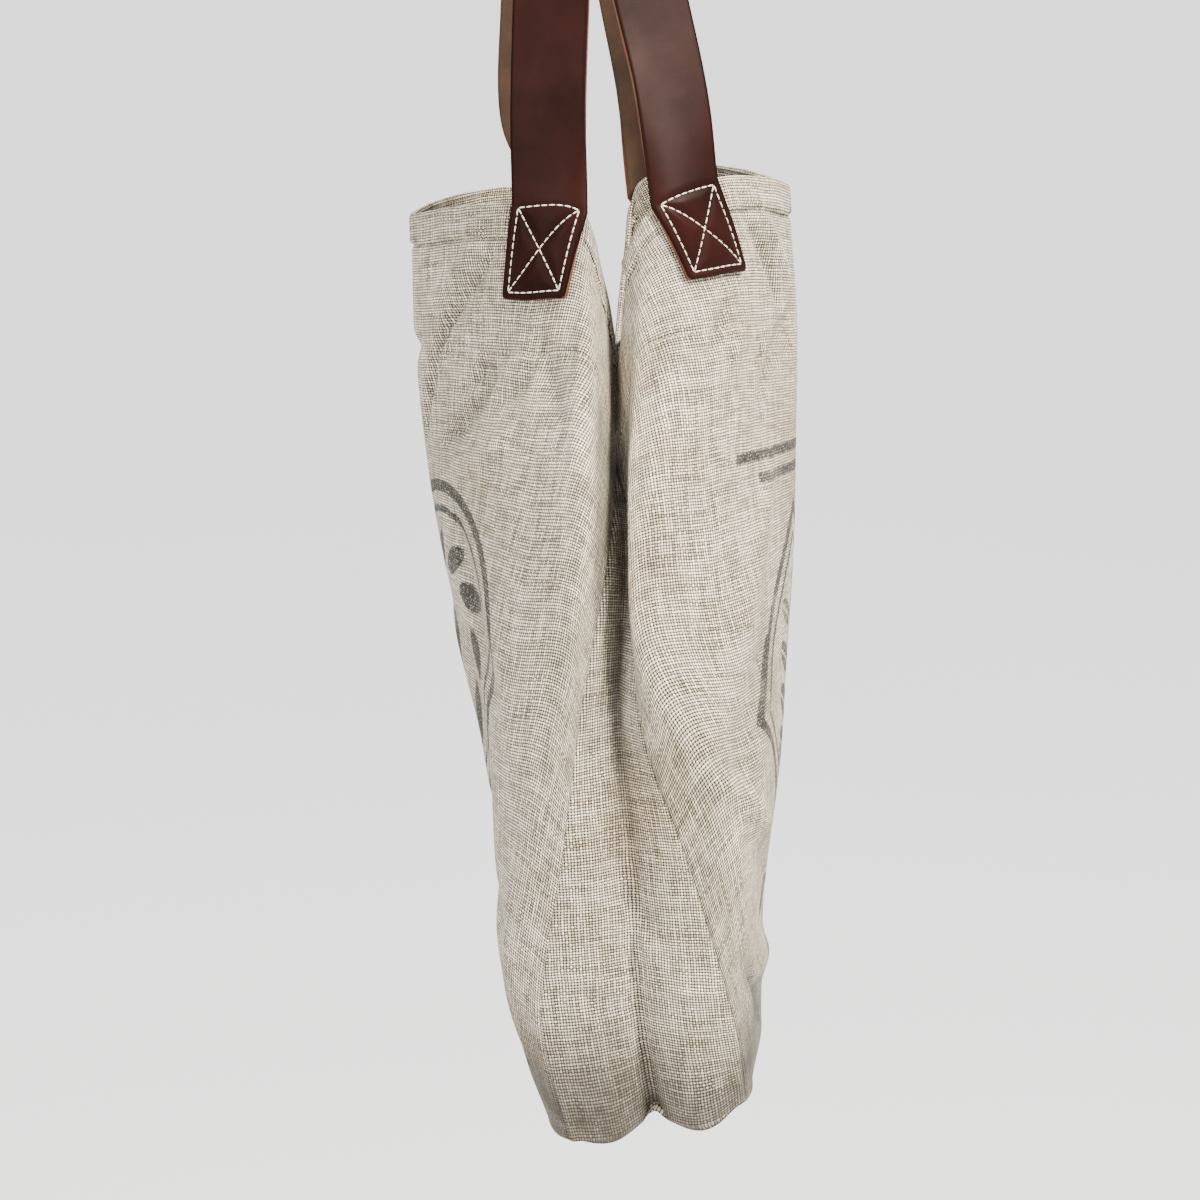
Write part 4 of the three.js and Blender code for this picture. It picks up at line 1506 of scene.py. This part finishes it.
@dataclass(frozen=True)
class Print:
    """A worn charcoal design, as the distance in millimetres to its nearest edge; ink is below 0."""

    design: Design
    wreath_middle: tuple[float, float] = (42, 232)
    sprig_middle: tuple[float, float] = (28, 252)
    outer_line: float = 3.2
    inner_line: float = 1.9
    bar_tall: float = 5

    @staticmethod
    def oval(x: Grid, y: Grid, wide: float, tall: float, turn: float = 0) -> Grid:
        """The distance to an oval that is turned by an angle."""
        along, aside = turned(x, y, turn)
        return (np.hypot(along / wide, aside / tall) - 1) * min(wide, tall)

    def bars(self, x: Grid, y: Grid, *bars: tuple[float, float]) -> Grid:
        """The distance to straight bars across, each given by its place down and half its length."""
        shapes = [np.maximum(np.abs(x) - half, np.abs(y - down) - self.bar_tall / 2) for down, half in bars]
        return np.min(shapes, axis=0)

    def bean(self, x: Grid, y: Grid, size: float, turn: float) -> Grid:
        """The distance to a bean with a wavy crease.

        Args:
            x: Places across from its middle.
            y: Places down from its middle.
            size: Half its length.
            turn: The angle of its length.

        Returns:
            A distance for each place.
        """
        along, aside = turned(x, y, turn)
        crease = np.abs(aside - size * 0.13 * np.sin(along / size * 2.6)) - size * 0.08
        return np.maximum(self.oval(x, y, size, size * 0.66, turn), -crease)

    def double_line(self, away: Grid, apart: float) -> Grid:
        """The distance to a thick line, from the distance to its middle, and to a thin line inside it."""
        return np.minimum(np.abs(away) - self.outer_line, np.abs(away + apart) - self.inner_line)

    def edge(self, x: Grid, y: Grid) -> Grid:
        """The distance to the nearest edge of the whole design.

        Args:
            x: Places across the panel.
            y: Places down it.

        Returns:
            A distance for each place.
        """
        wreath = self.design is Design.WREATH
        middle_x, middle_y = self.wreath_middle if wreath else self.sprig_middle
        return (self.wreath if wreath else self.sprig)(x - middle_x, y - middle_y)

    def wreath(self, x: Grid, y: Grid) -> Grid:
        """Two rings round leaves and a bean, over two bars.

        Args:
            x: Places across from its middle.
            y: Places down from its middle.

        Returns:
            A distance for each place.
        """
        ring, leaves_at, leaves = 92, 57, 12
        shapes = [self.double_line(np.hypot(x, y) - ring, 12)]
        for k in range(leaves):
            turn = 2 * math.pi * (k + 0.5) / leaves
            u, v = x - leaves_at * math.cos(turn), y - leaves_at * math.sin(turn)
            shapes.append(self.oval(u, v, 16, 6.5, turn + 0.9))
        shapes += [self.bean(x, y, 29, 1.1), self.bars(x, y, (112, 74), (123, 52))]
        return np.min(shapes, axis=0)

    def sprig(self, x: Grid, y: Grid) -> Grid:
        """A sprig of leaves in a double lozenge, between bars, over a row of beans.

        Args:
            x: Places across from its middle.
            y: Places down from its middle.

        Returns:
            A distance for each place.
        """
        wide, tall = 102, 88
        away = (np.abs(x) / wide + np.abs(y) / tall - 1) * wide * tall / math.hypot(wide, tall)
        stem = np.maximum(np.abs(x - 4 * np.sin(y / 22)) - 2, np.abs(y) - 54)
        shapes = [self.double_line(away, 11), stem]
        for k in range(4):
            height, size = 34 - 23 * k, 23 - 3 * k
            for hand in (-1, 1):
                u, v = x - hand * (size * 0.9 + 3), y - height
                leaf = self.oval(u, v, size, size * 0.42, -0.5 * hand)
                shapes.append(np.maximum(leaf, 1.1 - np.abs(v + hand * 0.5 * u)))
        shapes.append(self.bars(x, y, (-108, 64), (-119, 86), (102, 86), (113, 64)))
        shapes += [self.bean(x - 34 * k, y - 133, 13, 0.5) for k in range(-2, 3)]
        return np.min(shapes, axis=0)


def linear(colour: str) -> tuple[float, float, float, float]:
    """A colour given as sRGB hex, as Blender's linear colour.

    Args:
        colour: The colour, such as #a0b0c0.

    Returns:
        Red, green, blue and alpha.
    """
    parts = [int(colour[k : k + 2], 16) / 255 for k in (1, 3, 5)]
    curve = [part / 12.92 if part <= 0.04045 else ((part + 0.055) / 1.055) ** 2.4 for part in parts]
    return (*curve, 1.0)


@dataclass
class Graph:
    """The nodes of a material or of the sky, as they are added."""

    owner: bpy.types.Material | bpy.types.World

    def __post_init__(self) -> None:
        """Starts the nodes."""
        self.owner.use_nodes = True

    def give(self, socket: bpy.types.NodeSocket, value: Any) -> None:
        """Links a node or a socket to an input, or sets the input to a number or to a hex colour.

        Args:
            socket: The input.
            value: What it gets; None leaves it as it is.
        """
        if isinstance(value, bpy.types.Node):
            value = next(output for output in value.outputs if output.enabled)
        if isinstance(value, bpy.types.NodeSocket):
            self.owner.node_tree.links.new(value, socket)
        elif value is not None:
            socket.default_value = linear(value) if isinstance(value, str) else value

    def add(self, kind: str, *values: Any, **settings: Any) -> bpy.types.Node:
        """Adds a node with its settings and its links.

        Args:
            kind: The node's type, without the word that every type starts with.
            values: Its inputs in order: a node or a socket to link, a number, a hex colour, or None.
            settings: Its own properties.

        Returns:
            The node.
        """
        node = self.owner.node_tree.nodes.new(f"ShaderNode{kind}")
        for name, value in settings.items():
            setattr(node, name, value)
        for socket, value in zip([socket for socket in node.inputs if socket.enabled], values):
            self.give(socket, value)
        return node

    def math(self, operation: str, *values: Any) -> bpy.types.Node:
        """Adds arithmetic on numbers."""
        return self.add("Math", *values, operation=operation)

    def vector(self, operation: str, *values: Any) -> bpy.types.Node:
        """Adds arithmetic on places or directions."""
        return self.add("VectorMath", *values, operation=operation)

    def noise(self, place: Any, scale: float, detail: float, rough: float, **settings: Any) -> bpy.types.Node:
        """Adds uneven tones, with so many to a metre."""
        return self.add("TexNoise", place, scale, detail, rough, **settings)

    def ramp(self, value: Any, low: float, high: float, start: float, end: float) -> bpy.types.Node:
        """Adds a straight map from one range of values to another."""
        return self.add("MapRange", value, low, high, start, end)

    def soft_ramp(self, value: Any, low: float, high: float, start: float, end: float) -> bpy.types.Node:
        """Adds a map from one range of values to another, with a soft start and end."""
        return self.add("MapRange", value, low, high, start, end, interpolation_type="SMOOTHSTEP")

    def mix(self, share: Any, base: Any, tint: Any, blend: str = "MIX") -> bpy.types.Node:
        """Adds a mix of two colours."""
        return self.add("Mix", share, base, tint, data_type="RGBA", blend_type=blend)

    def place(self) -> bpy.types.NodeSocket:
        """Adds each point's place on its own object, in metres."""
        return self.add("TexCoord").outputs["Object"]

    def feed(self, shader: str, **inputs: Any) -> Any:
        """Feeds the last node.

        Args:
            shader: Its name.
            inputs: Its sockets, with _ for a space: a node or socket to link, or a constant.

        Returns:
            The finished material or sky.
        """
        for name, value in inputs.items():
            self.give(self.owner.node_tree.nodes[shader].inputs[name.replace("_", " ")], value)
        return self.owner

    def finish(self, **inputs: Any) -> bpy.types.Material:
        """Feeds the surface's shader, and gives the finished material."""
        return self.feed("Principled BSDF", **inputs)


@dataclass(frozen=True)
class Weave:
    """A plain weave: threads that pass over and under each other, uneven in thickness and tone, with painted
    shade in the gaps between them.
    """

    pitch: float
    dark: str
    light: str
    # The gap colour is painted shade between the threads.
    gap: str
    wander: float = 0.8

    def weave(self, graph: Graph) -> tuple[bpy.types.Node, bpy.types.Node]:
        """Adds the weave's nodes.

        Args:
            graph: The material's nodes.

        Returns:
            The threads' colour, with painted shade where they dip under, and their height from 0 to 1.
        """
        add, vector = graph.add, graph.vector
        cut = add("UVMap", uv_map="cut")
        drift = graph.noise(cut, 60.0, 2.0, 0.5, noise_dimensions="2D").outputs["Color"]
        drift = vector("MULTIPLY_ADD", drift, [self.wander] * 3, [-self.wander / 2] * 3)
        threads = vector("MULTIPLY_ADD", cut, [1 / (self.pitch * MM)] * 3, drift)
        number = vector("FLOOR", threads)
        half_turn = [math.pi] * 3
        profile = vector("SINE", vector("MULTIPLY", vector("FRACTION", threads), half_turn))
        # Each thread goes over and under in turn along its length, and the next one the other way about.
        place = add("SeparateXYZ", threads)
        swapped = add("CombineXYZ", place.outputs["Y"], place.outputs["X"], 0.0)
        crossing = vector("SINE", vector("MULTIPLY", vector("ADD", swapped, number), half_turn))
        over = vector("MULTIPLY_ADD", crossing, (0.5, -0.5, 0.0), [0.5] * 3)
        # Each thread has its own tone, which changes slowly along it.
        index = add("SeparateXYZ", number)
        tones = []
        for own, length in (("X", "Y"), ("Y", "X")):
            pair = add("CombineXYZ", index.outputs[own], place.outputs[length], 0.0)
            pair = vector("MULTIPLY", pair, (13.7, 0.07, 0.0))
            tones.append(graph.noise(pair, 1.0, 2.0, 0.6, noise_dimensions="2D"))
        slub = vector("MULTIPLY_ADD", add("CombineXYZ", *tones, 0.0), [0.8] * 3, [0.6] * 3)
        height = vector("MULTIPLY", vector("MULTIPLY", profile, over), slub)
        both = add("SeparateXYZ", height)
        top = graph.math("MAXIMUM", both.outputs["X"], both.outputs["Y"])
        warp_over = graph.math("GREATER_THAN", both.outputs["X"], both.outputs["Y"])
        tone = add("Mix", warp_over, tones[1], tones[0], data_type="FLOAT")
        thread = graph.mix(graph.ramp(tone, 0.3, 0.7, 0.0, 1.0), self.dark, self.light)
        # Where the threads dip under, the colour runs to the gap colour: painted shade between the threads.
        return graph.mix(graph.soft_ramp(top, 0.3, 0.86, 0.0, 1.0), self.gap, thread), top


@dataclass(frozen=True)
class Sacking:
    """Jute and flax sacking in a plain weave, unbleached, washed soft, stained and worn.

    Its thick and thin threads give the eye a speckle of light tops and dark gaps, with no gloss; the dark of
    the gaps is painted shade.
    The threads are really about 1 mm apart, and are drawn 1.4 mm apart so that they show.
    """

    # The weave's third colour is painted shade in the gaps between the threads.
    weave: Weave = Weave(1.4, "#b3a58c", "#fbf0dc", "#18120b")
    stain: str = "#cbb697"
    cool: str = "#d3d2c4"
    # The colour of dirt, also used for the painted shade in tucks, hollows and the strip's valley and notch.
    grime_and_shade: str = "#332e26"
    ink: str = "#0f0f0f"
    bump: float = 0.00042

    def material(self, name: str) -> bpy.types.Material:
        """Makes the cloth's material; it reads each point's grime and painted shade, and its distance to the
        print.

        Args:
            name: The material's name.

        Returns:
            The material.
        """
        graph = Graph(bpy.data.materials.new(name))
        colour, top = self.weave.weave(graph)
        place = graph.place()
        # Tea-coloured washed-out stains about 60 mm across, and cooler areas about 90 mm across.
        tints = ((self.stain, 17.0, 0.5, 0.72, 0.4), (self.cool, 11.0, 0.48, 0.66, 0.45))
        for tint, scale, low, high, most in tints:
            share = graph.soft_ramp(graph.noise(place, scale, 3.0, 0.55), low, high, 0.0, most)
            colour = graph.mix(share, colour, tint, "MULTIPLY")
        # Grime, and the painted shade in the tucks, crease hollows and the strip's valley and notch, lie in
        # blotches about 13 mm across.
        blotch = graph.ramp(graph.noise(place, 75.0, 4.0, 0.6), 0.25, 0.65, 0.6, 0.84)
        dirt_and_shade = graph.add("Attribute", attribute_name="grime_and_shade").outputs["Fac"]
        colour = graph.mix(graph.math("MULTIPLY", dirt_and_shade, blotch), colour, self.grime_and_shade)
        # Ink frays at its edges over about 1 mm and is rubbed off in places.
        distance = graph.add("Attribute", attribute_name="ink").outputs["Fac"]
        frayed = graph.math("MULTIPLY_ADD", graph.noise(place, 750.0, 1.0, 0.5), 2.2, distance)
        solid = graph.soft_ramp(frayed, 1.5, 0.7, 0.0, 1.0)
        flake = graph.ramp(graph.noise(place, 950.0, 2.0, 0.6), 0.36, 0.5, 0.45, 1.0)
        worn = graph.ramp(graph.noise(place, 34.0, 2.0, 0.5), 0.33, 0.5, 0.75, 1.0)
        ink = graph.math("MULTIPLY", solid, graph.math("MULTIPLY", flake, worn))
        colour = graph.mix(ink, colour, self.ink)
        # Loose fibres about 0.3 mm thick roughen the threads.
        rough = graph.math("MULTIPLY_ADD", graph.noise(place, 2600.0, 2.0, 0.6), 0.3, top)
        normal = graph.add("Bump", 1.0, self.bump, None, rough)
        return graph.finish(
            Base_Color=colour, Roughness=0.96, Normal=normal, Sheen_Weight=0.04, Sheen_Roughness=0.6, IOR=1.4
        )


@dataclass(frozen=True)
class Cotton:
    """Dyed cotton lining in a fine plain weave, with faded folds: a soft, even, matte blue.

    Its threads are really about 0.4 mm apart, and are drawn 0.8 mm apart so that they show.
    """

    # The weave's third colour is painted shade in the gaps between the threads.
    weave: Weave = Weave(0.8, "#20507f", "#356a9c", "#143453", 0.4)
    faded: str = "#4c7ba6"
    bump: float = 0.00012

    def material(self, name: str) -> bpy.types.Material:
        """Makes the lining's material, faded in patches about 40 mm across.

        Args:
            name: The material's name.

        Returns:
            The material.
        """
        graph = Graph(bpy.data.materials.new(name))
        colour, top = self.weave.weave(graph)
        share = graph.ramp(graph.noise(graph.place(), 25.0, 3.0, 0.55), 0.5, 0.7, 0.0, 0.35)
        colour = graph.mix(share, colour, self.faded)
        normal = graph.add("Bump", 0.8, self.bump, None, top)
        return graph.finish(Base_Color=colour, Roughness=0.9, Normal=normal, Sheen_Weight=0.1)


@dataclass(frozen=True)
class Leather:
    """Vegetable-tanned strap leather: a smooth, waxed red-brown grain with a soft shine.

    Its pores are about 0.7 mm apart, and its edges are rubbed darker by handling.
    """

    dark: str = "#180907"
    light: str = "#25100d"
    burnished: str = "#100504"
    burnish_from: float = 0.0165
    burnish_full: float = 0.0188
    bump: float = 0.0001

    def material(self, name: str) -> bpy.types.Material:
        """Makes the grain side's material, from the strap's own places across and along it.

        Args:
            name: The material's name.

        Returns:
            The material.
        """
        graph = Graph(bpy.data.materials.new(name))
        place = graph.place()
        cloud = graph.noise(place, 28.0, 4.0, 0.55)
        colour = graph.mix(graph.ramp(cloud, 0.3, 0.7, 0.0, 1.0), self.dark, self.light)
        across = graph.add("SeparateXYZ", graph.add("UVMap", uv_map="cut")).outputs["X"]
        edge = graph.soft_ramp(graph.math("ABSOLUTE", across), self.burnish_from, self.burnish_full, 0.0, 0.7)
        colour = graph.mix(edge, colour, self.burnished)
        pores = graph.add("TexVoronoi", place, 1400.0, feature="F1")
        grain = graph.math("MULTIPLY_ADD", pores, 0.5, graph.noise(place, 420.0, 4.0, 0.6))
        normal = graph.add("Bump", 0.35, self.bump, None, grain)
        gloss = graph.ramp(cloud, 0.3, 0.7, 0.46, 0.38)
        return graph.finish(
            Base_Color=colour, Roughness=gloss, Normal=normal, Specular_IOR_Level=0.05, IOR=1.4
        )


@dataclass(frozen=True)
class Fibrous:
    """Cut leather or spun thread: short fibres that catch the light unevenly, with no gloss."""

    dark: str
    light: str
    fibre: float
    bump: float = 0.00015
    sheen: float = 0.0
    roughness: float = 0.95

    def material(self, name: str) -> bpy.types.Material:
        """Makes a material whose fibres are the given number of millimetres thick.

        Args:
            name: The material's name.

        Returns:
            The material.
        """
        graph = Graph(bpy.data.materials.new(name))
        place = graph.place()
        nap = graph.noise(place, 1 / (self.fibre * MM), 3.0, 0.65)
        tone = graph.math("ADD", nap, graph.noise(place, 60.0, 3.0, 0.55))
        colour = graph.mix(graph.ramp(tone, 0.75, 1.25, 0.0, 1.0), self.dark, self.light)
        normal = graph.add("Bump", 0.8, self.bump, None, nap)
        return graph.finish(
            Base_Color=colour, Roughness=self.roughness, Normal=normal, Sheen_Weight=self.sheen
        )


@dataclass(frozen=True)
class Paper:
    """Seamless white studio paper: matte, with hardly any tone of its own."""

    dark: str = "#f4f4f4"
    light: str = "#fbfbfb"

    def material(self, name: str) -> bpy.types.Material:
        """Makes the floor's material.

        Args:
            name: The material's name.

        Returns:
            The material.
        """
        graph = Graph(bpy.data.materials.new(name))
        colour = graph.mix(graph.noise(graph.place(), 0.4, 2.0, 0.5), self.dark, self.light)
        return graph.finish(Base_Color=colour, Roughness=1.0)


@dataclass(frozen=True)
class AreaLight:
    """A square soft light: its place and the side it has, in metres, and its power and colour."""

    name: str
    place: tuple[float, float, float]
    size: float
    power: float
    tint: str


@dataclass(frozen=True)
class Studio:
    """The photograph's camera, a plain pale floor, soft lights and a pale sky."""

    target: tuple[float, float, float] = (0.120, 0.006, -0.457)
    distance: float = 1.25
    elevation: float = 12
    focal_pixels: float = 2570
    frame_pixels: float = 1200
    floor_height: float = -1.6
    floor_size: float = 900
    sky_strength: float = 0.5
    overhead_strength: float = 3.4
    horizon_strength: float = 1.35
    lit_point: tuple[float, float, float] = (0.05, 0.0, -0.45)
    lights: tuple[AreaLight, ...] = (
        AreaLight("key", (0.9, 1.0, 1.0), 0.5, 132, "#fff6e8"),
        AreaLight("fill", (1.2, -1.0, 0.3), 0.8, 24, "#fff9f0"),
    )

    def camera(self) -> None:
        """Sets the camera side on to the bag's narrow side, a little above it."""
        data = bpy.data.cameras.new("photo_camera")
        data.sensor_width = 36
        data.lens = self.focal_pixels / self.frame_pixels * data.sensor_width
        data.clip_start, data.clip_end = 0.01, 2000
        tilt = math.radians(self.elevation)
        back = Vector((math.cos(tilt), 0, math.sin(tilt)))
        camera = put("photo_camera", data)
        camera.location = Vector(self.target) + back * self.distance
        camera.rotation_euler = back.to_track_quat("Z", "Y").to_euler()
        bpy.context.scene.camera = camera

    def floor(self) -> None:
        """Lays the floor far below the hanging bag."""
        bpy.ops.object.select_all(action="DESELECT")
        bpy.ops.mesh.primitive_plane_add(size=self.floor_size, location=(0, 0, self.floor_height))
        floor = bpy.context.object
        floor.name = "studio_floor"
        floor.data.materials.append(Paper().material("white_studio_paper"))

    def light(self) -> None:
        """Places the area lights and the sky."""
        for lamp in self.lights:
            data = bpy.data.lights.new(lamp.name, "AREA")
            data.size, data.energy, data.color = lamp.size, lamp.power, linear(lamp.tint)[:3]
            light = put(lamp.name, data)
            light.location = lamp.place
            aim = Vector(lamp.place) - Vector(self.lit_point)
            light.rotation_euler = aim.to_track_quat("Z", "Y").to_euler()
        graph = Graph(bpy.data.worlds.new("studio_sky"))
        height = graph.add("SeparateXYZ", graph.add("TexCoord").outputs["Generated"]).outputs["Z"]
        overhead = graph.soft_ramp(height, 0.5, 0.85, self.sky_strength, self.overhead_strength)
        horizon = graph.soft_ramp(height, 0.03, 0.1, self.horizon_strength, 0.0)
        strength = graph.math("ADD", overhead, horizon)
        bpy.context.scene.world = graph.feed("Background", Color=(1, 1, 1, 1), Strength=strength)

    def build(self) -> None:
        """Sets up the whole studio."""
        self.camera()
        self.floor()
        self.light()


@dataclass
class Bag:
    """The whole bag: its cloth, its lining, its straps and its thread."""

    sacking: SackingPieces = field(default_factory=SackingPieces)
    strip: Strip = field(init=False)
    sewing_step: float = 0.7

    def __post_init__(self) -> None:
        """Hangs the cloth, which all the other pieces follow."""
        self.strip = self.sacking.hang()

    def place(self, piece: bpy.types.Object, slot: str, finishes: Sequence[bpy.types.Material]) -> None:
        """Gives a piece its finishes, makes it ride on the bag, and logs the name of its slot.

        Args:
            piece: The piece.
            slot: The name of its slot.
            finishes: Its materials, in order.
        """
        for finish in finishes:
            piece.data.materials.append(finish)
        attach(piece, ROOT)
        LOG.info("%s: %d faces, %s", piece.name, len(piece.data.polygons), slot)

    def cloth(self) -> dict[str, bpy.types.Object]:
        """Makes the two panels and the strip.

        Returns:
            The panels' pieces, by the panel's name.
        """
        pieces = {}
        for panel, name in ((self.sacking.front, "front"), (self.sacking.back, "back")):
            piece = self.sacking.panel_piece(panel, f"{name}_cloth")
            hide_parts(f"{name}_panel")
            self.place(piece, f"{name}_cloth", [Sacking().material(f"{name}_worn_sacking")])
            pieces[name] = piece
        piece = self.sacking.strip_piece(self.strip, "strip_cloth")
        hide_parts("gusset_strip")
        self.place(piece, "strip_cloth", [Sacking().material("strip_worn_sacking")])
        return pieces

    def lining(self) -> None:
        """Makes the lining."""
        piece = Lining(self.sacking.front, self.sacking.back, self.strip).build("lining_bag")
        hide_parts("lining")
        self.place(piece, "lining_cotton", [Cotton().material("blue_cotton")])

    def straps(self) -> None:
        """Makes both straps, and sews them on."""
        front, back = self.sacking.front, self.sacking.back
        lifted = CUT.hook_radius + CUT.strap_lift
        edge = Fibrous("#472410", "#6d3d1c", 0.35).material("raw_leather_edge")
        suede = Fibrous("#2a180c", "#432c1a", 0.5, 0.0002, 0.1, 1.0).material("leather_suede")
        thread = Fibrous("#c4baa6", "#ece4d3", 0.3, 0.0001).material("waxed_linen_thread")
        # Painted shade: the dark cups in the needle holes.
        hole_shade = Fibrous("#120d0a", "#251a14", 0.4).material("needle_hole_shadow")
        for panel, column, radius in ((front, "front_y", CUT.hook_radius), (back, "back_y", lifted)):
            strap = Strap(panel, column, radius)
            piece = strap.build(f"{panel.name}_leather_strap")
            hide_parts(f"{panel.name}_strap")
            grain = Leather().material(f"{panel.name}_strap_leather")
            self.place(piece, f"{panel.name}_leather", [grain, suede, edge])
            sewing = Stitching()
            strap.sew_on(sewing)
            self.place(sewing.build(f"{panel.name}_strap_thread"), f"{panel.name}_leather", [thread, hole_shade])

    def seams(self, pieces: dict[str, bpy.types.Object]) -> None:
        """Sews the hems, which stop beside the straps, and the facings.

        Args:
            pieces: The panels' pieces, by the panel's name; not used.
        """
        thread = Fibrous("#8d8371", "#cbc2ae", 0.3, 0.0001).material("natural_jute_thread")
        # Painted shade: the dark cups in the needle holes.
        hole_shade = Fibrous("#2a241d", "#453d32", 0.4).material("hem_needle_hole_shadow")
        end, clear = CUT.half - 2, CUT.strap_width / 2 + 3
        inner, outer = CUT.strap_from_middle - clear, CUT.strap_from_middle + clear
        rows = [(CUT.hem, -end, -outer), (CUT.hem, -inner, inner), (CUT.hem, outer, end)]
        rows.append((CUT.facing, -end, end))
        for panel in (self.sacking.front, self.sacking.back):
            sewing = Stitching(length=2.1, pitch=3.0, width=0.5, rise=0.12, hole_shade=0.42, sides=6, rings=4)
            for down, start, stop in rows:
                across = np.arange(start, stop, self.sewing_step)
                columns = np.interp(across, panel.across, np.arange(len(panel.across)))
                level_at = np.full(len(across), np.interp(down, panel.downs, np.arange(len(panel.downs))))
                sewing.sew(on_grid(panel.face, level_at, columns), on_grid(panel.normals, level_at, columns))
            piece = sewing.build(f"{panel.name}_hem_thread")
            self.place(piece, f"{panel.name}_cloth", [thread, hole_shade])

    def build(self) -> None:
        """Builds every piece in order."""
        pieces = self.cloth()
        self.lining()
        self.straps()
        self.seams(pieces)


def main() -> None:
    """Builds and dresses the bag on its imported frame."""
    logging.basicConfig(level=logging.INFO, format="%(name)s: %(message)s")
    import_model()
    Studio().build()
    Bag().build()


if __name__ == "__main__":
    main()
